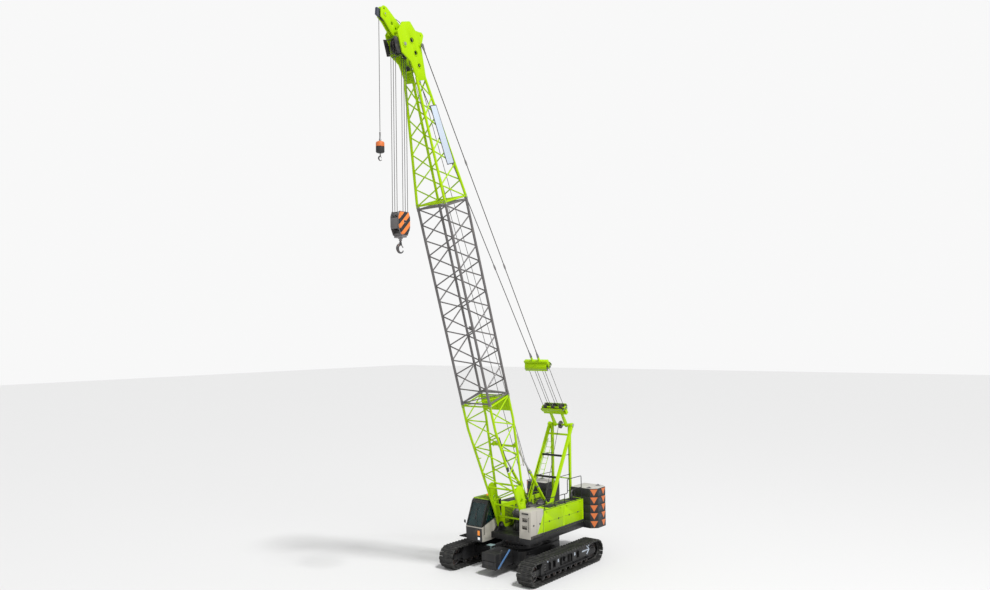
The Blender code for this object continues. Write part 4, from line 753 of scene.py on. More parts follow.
def lacing(start, end, side_start=None):
    side_start = start if side_start is None else side_start
    made = []
    for back in (-1, 1):
        made += zigzag((-1, back), (1, back), start, end, 0)
    for side in (-1, 1):
        made += zigzag((side, -1), (side, 1), side_start, end, 1)
    return made


def end_frame(s):
    """Cross tubes between the four chords, and a diagonal inside."""
    around = [(1, 1), (1, -1), (-1, -1), (-1, 1)]
    made = [rod(corner(s, *a), corner(s, *b), 0.036, 14) for a, b in zip(around, around[1:] + around[:1])]
    made.append(rod(corner(s, 1, 1), corner(s, -1, -1), 0.026, 12))
    return made


def boom_joints(s):
    """Forked pin joints on the four chords: ears, pins and retaining rings."""
    ears, pins = [], []
    for side in (-1, 1):
        for back in (-1, 1):
            centre = corner(s, side, back)
            for offset in (-0.034, 0.0, 0.034):
                outline = [(s - 0.15, back * 0.045 + centre.z), (s - 0.15, -back * 0.045 + centre.z)]
                outline = [(s - 0.16, centre.z - 0.05), (s + 0.16, centre.z - 0.05),
                           (s + 0.16, centre.z + 0.05), (s - 0.16, centre.z + 0.05)]
                mid = centre.y + offset
                ears.append(sheet_metal([outline], mid - 0.012, mid + 0.012))
            pins.append(rod(centre + Vector((0, -0.085, 0)), centre + Vector((0, 0.085, 0)), 0.024, 16, 0.004))
            pins.append(rod(centre + Vector((0, 0.066, 0)), centre + Vector((0, 0.078, 0)), 0.040, 16, 0.003))
    return ears, pins


def boom_piece(name, items, material, replaces=(), body="boom"):
    item = joined(items)
    item.data.transform(Matrix.Translation(BOOM_PIN) @ Matrix.Rotation(-LUFF, 4, "Y"))
    return piece(name, item, body, material, replaces)


def boom_foot():
    end = FOOT_END - SEAT
    made = chords(0.62, end) + lacing(1.3, end - 0.07, 2.2) + end_frame(end - 0.07)
    nose = arc(0, 0, 0.15, 90, 180, 16)
    outline = nose + [(2.0, -0.27), (2.15, -0.1), (2.15, 0.1), (2.0, 0.27)]
    low, high = 0.74, 0.82
    for side in (-1, 1):
        made.append(sheet_metal([outline, disc(0, 0, 0.063), disc(1.45, 0, 0.11)], side * low, side * high,
                                edge=0.006))
        made.append(turned([(0.063, low - 0.0004), (0.115, low - 0.0004), (0.115, high + 0.0004),
                            (0.063, high + 0.0004)], "Y", 32))
        made[-1].data.transform(Matrix.Scale(side, 4, (0, 1, 0)))
        if side < 0:
            made[-1].data.flip_normals()
        made.append(turned([(0.108, low - 0.012), (0.135, low - 0.012), (0.135, high + 0.012),
                            (0.108, high + 0.012)], "Y", 32, (1.45, 0, 0)))
        if side < 0:
            made[-1].data.transform(Matrix.Scale(-1, 4, (0, 1, 0)))
            made[-1].data.flip_normals()
        for n in (-0.155, 0.155):
            made.append(box(0.5, 1.25, side * (low - 0.03), side * low, n - 0.012, n + 0.012, 0.003))
    for s, n in ((0.45, 0.0), (1.05, 0.0), (2.05, 0.22), (2.05, -0.22)):
        made.append(rod((s, -low - 0.02, n), (s, low + 0.02, n), 0.045, 20))
    half_n = chord_at(3.90)[1]
    made.append(rod((3.90, -CHORD_Y, half_n), (3.90, CHORD_Y, half_n), 0.05, 20))
    for side in (-1, 1):
        lug = arc(3.90, 0.78, 0.07, 0, 180, 10) + [(3.80, half_n), (4.0, half_n)]
        made.append(sheet_metal([lug, disc(3.90, 0.78, 0.022, 16)], side * 0.575, side * 0.62))
        made.append(rod((3.6, side * CHORD_Y, -0.42), (3.60, side * (CHORD_Y - 0.09), -0.36), 0.02, 12))
    boom_piece("boom_foot_frame", made, GREEN, ("boom_foot",))
    plate = [sheet_metal([[(end - 0.80, -CHORD_Y + 0.05), (end - 0.12, -CHORD_Y + 0.05),
                           (end - 0.12, CHORD_Y - 0.05), (end - 0.80, CHORD_Y - 0.05)]],
                         CHORD_N - 0.011, CHORD_N + 0.011, "Z")]
    for y in (-0.55, 0.0, 0.55):
        plate.append(box(end - 0.78, end - 0.14, y - 0.02, y + 0.02, CHORD_N - 0.05, CHORD_N - 0.008, 0.004))
    boom_piece("boom_foot_rope_plate", plate, GREEN)
    ears, pins = boom_joints(FOOT_END)
    boom_piece("boom_lower_ears", ears, BOOM_GREY)
    pins += [rod((s, side * 0.83, 0), (s, side * 0.70, 0), 0.024, 16, 0.004)
             for s in (3.9,) for side in ()]
    for side in (-1, 1):
        pins.append(rod((3.90, side * 0.50, 0.78), (3.90, side * 0.66, 0.78), 0.022, 16, 0.003))
        pins.append(rod((3.90, side * 0.635, 0.78), (3.90, side * 0.65, 0.78), 0.034, 16, 0.003))
    boom_piece("boom_lower_pins", pins, BRIGHT)
    rails = [rod((4.4, 0.79, 0.79), (2.83, 0.79, 0.80), 0.024, 14, 0.004),
             rod((4.35, 0.79, 0.72), (4.35, 0.79, 0.80), 0.014, 10),
             rod((2.95, 0.79, 0.50), (2.95, 0.79, 0.80), 0.014, 10)]
    for item in rails:
        item.data.transform(Matrix.Translation((0, -0.02, -0.045)))
    boom_piece("boom_cable_guide", rails, GREY)
    dark = [rod((4.8, 0.74, -0.50), (3.6, 0.74, -0.36), 0.028, 14, 0.004)]
    lamp = box(3.12, 3.34, CHORD_Y + 0.02, CHORD_Y + 0.07, -0.55, -0.41, 0.02)
    arm = tube([(3.23, CHORD_Y, -0.33), (3.23, CHORD_Y + 0.03, -0.40), (3.23, CHORD_Y + 0.045, -0.45)], 0.010)
    boom_piece("boom_work_lamp", dark + [lamp, arm], PLASTIC)
    boom_piece("boom_work_lamp_glass", [box(3.10, 3.122, CHORD_Y + 0.026, CHORD_Y + 0.064, -0.53, -0.43, 0.004)], CLEAR)


def boom_middle():
    start, end = FOOT_END + SEAT, MIDDLE_END - SEAT
    made = chords(start, end) + lacing(start + 0.07, end - 0.07)
    made += end_frame(start + 0.07) + end_frame(end - 0.07)
    made.append(sheet_metal([[(9.88, CHORD_Y - 0.02), (10.06, CHORD_Y - 0.02), (10.06, CHORD_Y - 0.2),
                              (9.88, CHORD_Y - 0.2)]], -CHORD_N - 0.006, -CHORD_N + 0.006, "Z"))
    boom_piece("boom_middle_frame", made, BOOM_GREY, ("boom_middle",))


def head_outline():
    return [(20.45, -0.24), (20.45, 0.30), (21.75, 0.42), *arc(22.20, 0.55, 0.15, 100, -110, 8),
            (22.42, 0.28), (22.70, 0.12), *arc(22.72, 0.02, 0.08, 60, -60, 4), (22.80, -0.40),
            (22.45, -0.80), (21.65, -0.80), (21.25, -0.40)]


def boom_top():
    start = MIDDLE_END + SEAT
    made = chords(start, TOP_END) + lacing(start + 0.07, TOP_END - 0.15) + end_frame(start + 0.07)
    low, high = 0.30, 0.36
    lightened = ((22.06, -0.08, 0.11), (21.55, 0.0, 0.10), (21.04, 0.04, 0.09))
    holes = [disc(*hole) for hole in lightened] + [disc(22.2, 0.52, 0.03, 16)]
    for side in (-1, 1):
        made.append(sheet_metal([head_outline(), *holes], side * low, side * high, edge=0.006))
        for s, n, r in lightened:
            made.append(turned([(r - 0.002, -0.008), (r + 0.03, -0.008), (r + 0.03, 0.008), (r - 0.002, 0.008)],
                               "Y", 24, (s, side * (high + 0.006), n)))
        made.append(turned([(0.052, -0.015), (0.12, -0.015), (0.12, 0.015), (0.052, 0.015)], "Y", 28,
                           (21.94, side * (high + 0.012), -0.55)))
        made.append(box(20.6, 21.3, side * (low - 0.02), side * low, -0.02, 0.02, 0.004))
    for s, n in ((20.9, -0.1), (20.9, 0.22), (21.6, 0.30), (22.6, 0.02)):
        made.append(rod((s, -low - 0.02, n), (s, low + 0.02, n), 0.045, 20))
    made.append(rod((21.94, -low - 0.02, -0.55), (21.94, low + 0.02, -0.55), 0.049, 24))
    for side in (-1, 1):
        made.append(rod((21.82, side * 0.34, 0.33), (21.82, side * 0.398, 0.33), 0.05, 20, 0.006))
    boom_piece("boom_top_frame", made, GREEN, ("boom_top",))
    ears, pins = boom_joints(MIDDLE_END)
    boom_piece("boom_upper_ears", ears, BOOM_GREY)
    for side in (-1, 1):
        pins.append(rod((21.94, side * 0.36, -0.55), (21.94, side * 0.415, -0.55), 0.06, 24, 0.008))
        pins.append(bolts([(21.94 + 0.085 * cos(a), side * 0.388, -0.55 + 0.085 * sin(a))
                           for a in (k * pi / 3 for k in range(6))], (0, side, 0), 0.010, 0.010))
    boom_piece("boom_upper_pins", pins, BRIGHT)
    guard = [sheet_metal([[(21.60, -1.04), (22.27, -1.04), (22.27, -0.86), (22.10, -0.80), (21.78, -0.80),
                           (21.60, -0.86)]], side * 0.285, side * 0.297) for side in (-1, 1)]
    guard += [rod((s, -0.297, n), (s, 0.297, n), 0.018, 12) for s, n in ((21.66, -0.97), (22.21, -0.97), (21.55, -0.74))]
    boom_piece("head_rope_guard", guard, PLASTIC)
    # Dark discs just inside both head plates, behind the lightening holes: painted shade, so the holes read as dark
    # openings
    hole_shade_discs = [sheet_metal([disc(s, n, r + 0.03)], side * 0.262, side * 0.274) for s, n, r in lightened for side in (-1, 1)]
    boom_piece("head_hole_shade_discs", hole_shade_discs, PLASTIC)
    sign = [sheet_metal([[(16.9, 0.02), (19.4, 0.0), (19.4, 0.40), (16.9, 0.50)]], -0.006, 0.006)]
    lift = (chord_at(16.9)[0] + chord_at(19.4)[0]) / 2
    slope = atan2(chord_at(16.9)[0] - chord_at(19.4)[0], 2.5)
    turn = Matrix.Translation((18.15, lift + CHORD_RADIUS + 0.004, 0)) @ Matrix.Rotation(-slope, 4, "Z")
    sign[0].data.transform(turn @ Matrix.Translation((-18.15, 0, 0)))
    corners = [(16.9, 0.02), (19.4, 0.0), (19.4, 0.40), (16.9, 0.50)]
    middle = (sum(s for s, _ in corners) / 4, sum(n for _, n in corners) / 4)
    inner = [(middle[0] + (s - middle[0]) * 0.975, middle[1] + (n - middle[1]) * 0.86) for s, n in corners]
    border = sheet_metal([corners, inner], -0.0085, 0.0085, edge=0.001)
    border.data.transform(turn @ Matrix.Translation((-18.15, 0, 0)))
    boom_piece("boom_blank_banner", sign, WHITE)
    boom_piece("boom_banner_border", [border], PLASTIC)


def boom_tip():
    outline = [(22.40, -0.52), (22.72, -0.30), (23.44, -0.86), *arc(23.38, -1.02, 0.12, 30, -90, 5),
               (23.40, -1.20), (23.10, -1.30), (22.92, -1.14), (22.34, -0.84)]
    made = []
    for side in (-1, 1):
        made.append(sheet_metal([outline, disc(22.58, -0.60, 0.05, 20), disc(22.80, -0.76, 0.07, 20), disc(23.38, -1.02, 0.04, 16)], side * 0.065, side * 0.115, edge=0.005))
        made.append(turned([(0.036, -0.012), (0.09, -0.012), (0.09, 0.012), (0.036, 0.012)], "Y", 24,
                           (23.18, side * 0.125, -1.04)))
    for s, n in ((22.64, -0.42), (22.44, -0.72)):
        made.append(rod((s, -0.298, n), (s, 0.298, n), 0.045, 20))
    boom_piece("boom_tip_frame", made, GREEN, ("boom_tip",))
    guard = [sheet_metal([[(23.10, -1.33), (23.40, -1.22), (23.46, -1.34), (23.20, -1.45)]], -0.05, 0.05)]
    boom_piece("tip_rope_guard", guard, BLUE_BLACK)
    pin = [rod((23.18, -0.15, -1.04), (23.18, 0.15, -1.04), 0.034, 20, 0.005)]
    boom_piece("tip_pin", pin, BRIGHT)


# --- sheaves and ropes ---------------------------------------------------
def sheave(rope_radius, bore, hub_half, web_holes=6):
    """One rope sheave about the Y axis: grooved rim, holed web, hub."""
    rim = rope_radius + RIM
    root = rope_radius - ROPE
    half = ROPE + 0.014
    hub = bore + 0.055
    profile = [(bore, -hub_half), (hub, -hub_half), (hub + 0.01, -0.016), (root - 0.035, -0.012),
               (root - 0.02, -half + 0.004), (rim - 0.004, -half), (rim, -half + 0.005),
               (root + 0.004, -ROPE * 0.7), (root - 0.001, 0.0), (root + 0.004, ROPE * 0.7),
               (rim, half - 0.005), (rim - 0.004, half), (root - 0.02, half - 0.004),
               (root - 0.035, 0.012), (hub + 0.01, 0.016), (hub, hub_half), (bore, hub_half)]
    item = turned(profile, "Y", 40)
    if web_holes:
        middle = (hub + root - 0.02) / 2
        size = (root - hub) * 0.26
        cutters = [rod((middle * cos(a), -0.05, middle * sin(a)), (middle * cos(a), 0.05, middle * sin(a)), size, 16)
                   for a in (2 * pi * k / web_holes for k in range(web_holes))]
        cut(item, joined(cutters))
    return item


def sheave_row(name, body, node, rope_radius, bore, ys, hub_half, place, angle=None):
    model = sheave(rope_radius, bore, hub_half)
    made = [shifted(model, 0, y, 0) for y in ys]
    removed(model)
    item = joined(made)
    if angle is None:
        item.data.transform(Matrix.Translation(place))
    else:
        item.data.transform(Matrix.Translation(place) @ Matrix.Rotation(-angle, 4, "Y"))
    return piece(name, item, body, SHEAVE_STEEL, (node,))


def wrap_points(x, z, radius, start, sweep, steps):
    return [(x + radius * cos(radians(start + sweep * k / steps)),
             z + radius * sin(radians(start + sweep * k / steps))) for k in range(steps + 1)]


def rope_line(start, end):
    return rod(start, end, ROPE, 10)


def blended(name, items, material, replaces=()):
    """Straight ropes, their place baked into the mesh, tied to no body."""
    item = piece(name, items, None, material, ())
    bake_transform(item)
    if replaces:
        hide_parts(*replaces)
    return item


def main_falls():
    ys = (-SHEAVE_PITCH, 0, SHEAVE_PITCH)
    block_z = joint_place("block_sheaves_spin").z
    made = []
    for y in ys:
        for side in (-1, 1):
            x = HEAD.x + side * MAIN_ROPE
            made.append(rope_line((x, y, HEAD.z), (x, y, block_z)))
    blended("main_fall_ropes", made, WIRE,
            ("main_hoist_rope",))
    head, block = [], []
    for y in ys:
        head.append(tube([(u, y, v) for u, v in wrap_points(HEAD.x, HEAD.z, MAIN_ROPE, 0, 180, 24)], ROPE, resolution=2))
        block.append(tube([(u, y, v) for u, v in wrap_points(HEAD.x, block_z, MAIN_ROPE, 0, -180, 24)], ROPE,
                          resolution=2))
    piece("main_rope_over_head", head, "boom", WIRE)
    piece("main_rope_under_block", block, "hook_block", WIRE)


def aux_fall():
    x = TIP.x + TIP_ROPE
    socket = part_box("aux_weight")[1].z
    blended("aux_fall_rope", [rope_line((x, 0, TIP.z), (x, 0, socket + 0.02))], WIRE,
            ("aux_hoist_rope",))
    over = tube([(u, 0, v) for u, v in wrap_points(TIP.x, TIP.z, TIP_ROPE, 0, 150, 24)], ROPE, resolution=2)
    piece("aux_rope_over_tip", over, "boom", WIRE)


def boom_at(s, y, n):
    return BOOM_PIN + Matrix.Rotation(-LUFF, 4, "Y") @ Vector((s, y, n))


def hoist_leads():
    """The two hoist lines from their drums to the boom's head."""
    for name, drum, y, top in (("main_lead_rope", "main_drum", 0.10, boom_at(21.94 - 0.05, 0.10, -0.55 + MAIN_ROPE)),
                               ("aux_lead_rope", "aux_drum", -0.12, boom_at(21.60, -0.12, 0.365))):
        centre = DRUMS[drum]
        line = top - centre
        angle = atan2(line.z, line.x)
        start = centre + Vector((-0.30 * sin(angle), y, 0.30 * cos(angle)))
        blended(name, [rope_line(start, top)], WIRE)
    low = boom_at(21.60, -0.12, 0.365)
    route = [low, boom_at(22.60, -0.06, 0.082), boom_at(22.86, -0.03, -0.10)]
    end = TIP + Vector((TIP_ROPE * cos(radians(150)), 0, TIP_ROPE * sin(radians(150))))
    piece("aux_rope_along_head", tube([*route, end], ROPE, 0.2, 2), "boom", WIRE)
    rollers = [rod(boom_at(21.60, -0.2, 0.33), boom_at(21.60, 0.2, 0.33), 0.048, 20, 0.004)]
    piece("head_rope_roller", rollers, "boom", STEEL)


def stays():
    d_block = (joint_place("gantry_sheaves_spin") - joint_place("gantry_block_swing")).length
    d_bridle = (joint_place("bridle_sheaves_spin") - joint_place("gantry_block_swing")).length
    ys = (-STAY_SHEAVE_Y, 0, STAY_SHEAVE_Y)
    for name, body, node in (("upper_spreader_frame", "gantry_block", "gantry_block"),
                             ("lower_spreader_frame", "bridle", "bridle")):
        piece(name, dressed(node, 0.006), body, GREEN, (node,))
    for name, body, node, d in (("upper_spreader_sheaves", "gantry_sheaves", "gantry_sheaves", d_block),
                                ("lower_spreader_sheaves", "bridle_sheaves", "bridle_sheaves", d_bridle)):
        place = GANTRY + Vector((d * cos(STAY_ANGLE), 0, d * sin(STAY_ANGLE)))
        sheave_row(name, body, node, STAY_ROPE, 0.043, ys, 0.06, place, STAY_ANGLE)
    runs, near, far = [], [], []
    for y in ys:
        for side in (-1, 1):
            runs.append(rope_line((d_block, y, side * STAY_ROPE), (d_bridle, y, side * STAY_ROPE)))
        near.append(tube([(d_block + u, y, v) for u, v in wrap_points(0, 0, STAY_ROPE, 90, 180, 20)], ROPE, resolution=2))
        far.append(tube([(d_bridle + u, y, v) for u, v in wrap_points(0, 0, STAY_ROPE, 90, -180, 20)], ROPE, resolution=2))
    item = raised(joined(runs), STAY_ANGLE, GANTRY)
    blended("luffing_falls", item, WIRE, ("luffing_rope",))
    piece("luffing_rope_upper_turns", raised(joined(near), STAY_ANGLE, GANTRY), "gantry_block", WIRE)
    piece("luffing_rope_lower_turns", raised(joined(far), STAY_ANGLE, GANTRY), "bridle", WIRE)
    for body, d, sign in (("gantry_block", d_block, -1), ("bridle", d_bridle, 1)):
        made = []
        for side in (-1, 1):
            made.append(rod((d, side * 0.665, 0), (d, side * 0.72, 0), 0.052, 20, 0.006))
            made.append(bolts([(d + 0.11 * sign, side * 0.681, v) for v in (-0.04, 0.04)], (0, side, 0), 0.012))
        for y in ys:
            made.append(rod((d - 0.245 * sign, y - 0.06, 0), (d - 0.245 * sign, y + 0.06, 0), 0.012, 10))
        for n in (-0.235, 0.235):
            made.append(rod((d, -0.665, n), (d, 0.665, n), 0.012, 12))
            for side in (-1, 1):
                made.append(bar((d, side * 0.655, 0.07 * (1 if n > 0 else -1)), (d, side * 0.655, n), 0.02, 0.05))
        reach = -0.10 * sign
        outer = [(d + reach, 0.243)] + [(d + sign * 0.243 * cos(a), 0.243 * sin(a))
                                        for a in (pi / 2 - pi * k / 16 for k in range(17))] + [(d + reach, -0.243)]
        inner = [(d + (u - d) * 0.963, v * 0.963) for u, v in outer]
        band = sheet_metal([outer + inner[::-1]], -0.64, 0.64, edge=0.002)
        piece(body + "_shroud", raised(band, STAY_ANGLE, GANTRY), body, GREEN)
        piece(body + "_pins_and_keepers", raised(joined(made), STAY_ANGLE, GANTRY), body, STEEL)


def pendants():
    eye = boom_at(21.82, 0, 0.41)
    length = (eye - GANTRY).length
    start_d = 4.15
    made, fittings = [], []
    for side in (-1, 1):
        start = Vector((start_d + 0.16, side * 0.212, 0))
        end = Vector((length - 0.02, side * 0.44, 0))
        made.append(rod(start, end, 0.019, 14))
        for place in (start_d, length):
            y = side * (0.205 if place == start_d else 0.44)
            inner = place == start_d
            lug = arc(place, 0, 0.068, 90 if not inner else -90, -180 if not inner else -180, 10)
            outline = lug + ([(place - 0.22, -0.03), (place - 0.22, 0.03)] if not inner
                             else [(place + 0.22, 0.03), (place + 0.22, -0.03)])
            fittings.append(sheet_metal([outline], y - 0.026, y + 0.026, edge=0.006))
            fittings.append(rod((place, y - 0.04, 0), (place, y + 0.04, 0), 0.03, 18, 0.004))
        for share in (0.32, 0.66):
            spot = start.lerp(end, share)
            along = (end - start).normalized()
            fittings.append(rod(spot - along * 0.13, spot + along * 0.13, 0.036, 16, 0.012))
            fittings.append(rod(spot - along * 0.05, spot + along * 0.05, 0.042, 16, 0.006))
        sock = (end - start).normalized()
        fittings.append(rod(start - sock * 0.02, start + sock * 0.22, 0.030, 16, 0.01))
        fittings.append(rod(end - sock * 0.36, end - sock * 0.10, 0.030, 16, 0.01))
    piece("pendant_lines", raised(joined(made), STAY_ANGLE, GANTRY), "bridle", WIRE, ("pendant_left", "pendant_right"))
    piece("pendant_fittings", raised(joined(fittings), STAY_ANGLE, GANTRY), "bridle", STEEL)


def backstops():
    eye = boom_at(3.90, 0, 0.78)
    reach = (eye - BACKSTOP).length
    barrels, collars, rods = [], [], []
    for side in (-1, 1):
        y = side * 0.525
        barrels.append(rod((0.06, y, 0), (2.35, y, 0), 0.068, 28, 0.006))
        barrels.append(turned([(0.039, -0.072), (0.075, -0.072), (0.075, 0.072), (0.039, 0.072)], "Y", 28, (0, y, 0)))
        for d in (0.30, 1.30, 2.22):
            collars.append(turned([(0.0675, -0.035), (0.080, -0.035), (0.080, 0.035), (0.0675, 0.035)], "X", 28,
                                  (d, y, 0)))
        collars.append(turned([(0.043, -0.02), (0.070, -0.02), (0.060, 0.03), (0.043, 0.03)], "X", 28, (2.36, y, 0)))
        rods.append(rod((reach - 3.0, y, 0), (reach, y, 0), 0.0415, 24))
        rods.append(turned([(0.024, -0.038), (0.070, -0.038), (0.070, 0.038), (0.024, 0.038)], "Y", 28, (reach, y, 0)))
        rods.append(rod((reach - 0.30, y, 0), (reach - 0.06, y, 0), 0.052, 24, 0.008))
    piece("backstop_barrels_pair", raised(joined(barrels), BACKSTOP_ANGLE, BACKSTOP), "backstop_barrels", GREEN,
          ("backstop_barrel_left", "backstop_barrel_right"))
    piece("backstop_collars", raised(joined(collars), BACKSTOP_ANGLE, BACKSTOP), "backstop_barrels", STEEL)
    piece("backstop_rods_pair", raised(joined(rods), BACKSTOP_ANGLE, BACKSTOP), "backstop_rods", BRIGHT,
          ("backstop_rod_left", "backstop_rod_right"))


def boom_all():
    boom_foot()
    boom_middle()
    boom_top()
    boom_tip()
    sheave_row("head_sheave_set", "head_sheaves", "head_sheaves", MAIN_ROPE, 0.053,
               (-SHEAVE_PITCH, 0, SHEAVE_PITCH), 0.062, HEAD)
    sheave_row("tip_sheave_wheel", "tip_sheave", "tip_sheave", TIP_ROPE, 0.038, (0,), 0.062, TIP)
    stays()
    pendants()
    backstops()
    main_falls()
    aux_fall()
    hoist_leads()


# --- crawlers ------------------------------------------------------------
def loop_place(distance, radius):
    """Point and direction on the track's loop, from the front of the top run."""
    straight, turn = 2 * TUMBLER_HALF, pi * radius
    distance %= 2 * (straight + turn)
    if distance < straight:
        return (TUMBLER_HALF - distance, TRACK_RADIUS + radius), pi
    distance -= straight
    if distance < turn:
        angle = pi / 2 + distance / radius
        return (-TUMBLER_HALF + radius * cos(angle), TRACK_RADIUS + radius * sin(angle)), angle + pi / 2
    distance -= turn
    if distance < straight:
        return (-TUMBLER_HALF + distance, TRACK_RADIUS - radius), 0
    angle = -pi / 2 + (distance - straight) / radius
    return (TUMBLER_HALF + radius * cos(angle), TRACK_RADIUS + radius * sin(angle)), angle + pi / 2


def shoe(length):
    """One shoe lying along X, its ground side up: thick pad with a raised, stepped crown."""
    half = SHOE_WIDTH / 2
    bpy.ops.mesh.primitive_cube_add(size=1, location=(0, 0, -0.030), scale=(length * 0.86, 2 * half, 0.044))
    pad = settle()
    bpy.ops.object.mode_set(mode="EDIT")
    work = bmesh.from_edit_mesh(pad.data)
    for face in work.faces:
        face.select_set(face.normal.z > 0.5)
    bmesh.update_edit_mesh(pad.data)
    bpy.ops.mesh.inset(thickness=0.018)
    bpy.ops.transform.translate(value=(0, 0, 0.010))
    bpy.ops.mesh.inset(thickness=0.012)
    bpy.ops.transform.translate(value=(0, 0, -0.006))
    bpy.ops.object.mode_set(mode="OBJECT")
    bars = [box(-length * 0.28, length * 0.20, side * (half - 0.055) - 0.05, side * (half - 0.055) + 0.05, -0.014, 0.026, 0.008, 1)
            for side in (-1, 1)]
    bars.append(box(-0.035, 0.012, -half + 0.12, half - 0.12, -0.014, 0.026, 0.008, 1))
    tongue = box(length * 0.34, length * 0.56, -0.20, 0.20, -0.048, -0.024, 0.005, 1)
    return joined([pad, tongue, *bars])


def link_pair(length):
    """The chain's two links with a pin, under one shoe."""
    made = []
    for y in (-0.135, 0.135):
        made.append(box(-length * 0.46, length * 0.46, y - 0.022, y + 0.022, -0.115, -0.034, 0.014, 1))
    made.append(rod((length * 0.5, -0.165, -0.075), (length * 0.5, 0.165, -0.075), 0.024, 10))
    return joined(made)


def track(side, name):
    radius = TRACK_RADIUS - 0.026
    length = 2 * (2 * TUMBLER_HALF + pi * radius)
    step = length / SHOES
    model = joined([shoe(step), link_pair(step)])
    made = []
    for i in range(SHOES):
        (x, z), heading = loop_place((i + 0.23) * step, radius)
        turn = Matrix.Rotation(-heading + pi, 4, "Y")
        made.append(copied(model, Matrix.Translation((x, side * GAUGE_HALF, z)) @ turn))
    removed(model)
    piece(name + "_track_shoes", made, name + "_crawler", TRACK, (name + "_track",), smooth=25)


def track_frame(side, name):
    middle = side * GAUGE_HALF
    half = 0.23
    top, end = 0.92, 2.5 - 0.41 - 0.05
    outline = [(-end + 0.1, 0.30), (end - 0.1, 0.30), (end, 0.42), (end, 0.70), (end - 0.15, top),
               (0.15 - end, top), (-end, 0.70), (-end, 0.42)]
    body = sheet_metal([outline], middle - half, middle + half, edge=0.012)
    outer = middle + side * half
    cutters = []
    for x0, x1 in ((1.24, 1.84), (-0.52, 0.52)):
        z0, z1 = 0.46, 0.84
        shape = [(x0, z0), (x1, z0), (x1, z1 - 0.08), (x1 - 0.08, z1), (x0 + 0.08, z1), (x0, z1 - 0.08)]
        cutters.append(sheet_metal([shape], outer - side * 0.09, outer + side * 0.03))
    for x in (-0.98, 0.98):
        cutters.append(box(x - 0.141, x + 0.141, middle - 0.4, middle + 0.4, 0.4747, 0.851, 0))
    cut(body, *cutters)
    made = [body, box(-end + 0.05, end - 0.05, outer - side * 0.01, outer + side * 0.10, 0.335, 0.36, 0.004)]
    for x in (-1.7, -0.6, 0.6, 1.7):
        gusset = [(outer + side * 0.0, 0.36), (outer + side * 0.09, 0.36), (outer + side * 0.0, 0.45)]
        made.append(sheet_metal([gusset], x - 0.01, x + 0.01, "X", 0.002))
    made.append(rod((0.0, outer - side * 0.08, 0.65), (0.0, outer - side * 0.01, 0.65), 0.10, 28, 0.008))
    for x in (-0.33, 0.33):
        made.append(box(x - 0.02, x + 0.02, outer - side * 0.085, outer - side * 0.012, 0.47, 0.83, 0.004))
    for x in (-1.55, 1.55):
        made.append(rod((x, middle - 0.16, 0.965), (x, middle + 0.16, 0.965), 0.035, 16))
    for direction in (-1, 1):
        x = direction * TUMBLER_HALF
        for y0 in (0.125, -0.18):
            nose = arc(x, TRACK_RADIUS, 0.13, -90 if direction > 0 else 90, 180, 10)
            back = [(direction * (end - 0.1), TRACK_RADIUS + direction * 0.13),
                    (direction * (end - 0.1), TRACK_RADIUS - direction * 0.13)]
            made.append(sheet_metal([nose + back], middle + y0, middle + y0 + 0.055, edge=0.006))
        made.append(rod((x, middle - 0.19, TRACK_RADIUS), (x, middle + 0.19, TRACK_RADIUS), 0.07, 24, 0.008))
    piece(name + "_side_frame", made, name + "_crawler", DARK, (name + "_track_frame",))
    bolt_points = [(x, outer, z) for x in (-1.75, -1.68, 1.68, 1.75) for z in (0.55, 0.68, 0.80)]
    bolt_points += [(TUMBLER_HALF * d + 0.095 * cos(a), middle + side * 0.182, TRACK_RADIUS + 0.095 * sin(a))
                    for d in (-1, 1) for a in (k * pi / 4 for k in range(8))]
    piece(name + "_frame_bolts", bolts(bolt_points, (0, side, 0), 0.013), name + "_crawler", STEEL)
    roller = turned([(0.0005, -0.21), (0.045, -0.21), (0.045, -0.175), (0.115, -0.175), (0.115, -0.158),
                     (0.098, -0.154), (0.098, -0.105), (0.060, -0.10), (0.060, 0.10), (0.098, 0.105),
                     (0.098, 0.154), (0.115, 0.158), (0.115, 0.175), (0.045, 0.175), (0.045, 0.21),
                     (0.0005, 0.21)], "Y", 24)
    spacing = 2 * (end - 0.25) / 8
    lower = [shifted(roller, -(end - 0.25) + i * spacing, middle, 0.222) for i in range(9)]
    upper = [copied(roller, Matrix.Translation((x, middle, 0.93 - 0.065)) @ Matrix.Scale(0.62, 4))
             for x in (-0.75, 0.75)]
    removed(roller)
    piece(name + "_rollers", lower + upper, name + "_crawler", SHEAVE_STEEL)
    marks = [box(x - 0.05, x + 0.05, outer - side * 0.002, outer + side * 0.003, z - 0.07, z + 0.07, 0.001)
             for x, z in ((0.66, 0.74), (-0.72, 0.74))]
    marks += [box(x - 0.04, x + 0.04, outer - side * 0.002, outer + side * 0.003, 0.84, 0.90, 0.001) for x in (1.5, -1.95)]
    tip, tail, level, stroke = -1.95, -1.35, 0.70, 0.03
    chevron = [(tip, level), (tip + 0.22, level + 0.17), (tip + 0.17, level + 0.22), (tip - 0.045, level + 0.028),
               (tip - 0.045, level - 0.028), (tip + 0.17, level - 0.22), (tip + 0.22, level - 0.17)]
    shaft = [(tail, level + stroke), (tip + 0.03, level + stroke), (tip + 0.03, level - stroke), (tail, level - stroke)]
    for outline in (chevron, shaft):
        marks.append(sheet_metal([outline], outer - side * 0.001, outer + side * 0.003, edge=0.001))
    piece(name + "_frame_marks", marks, name + "_crawler", WHITE)


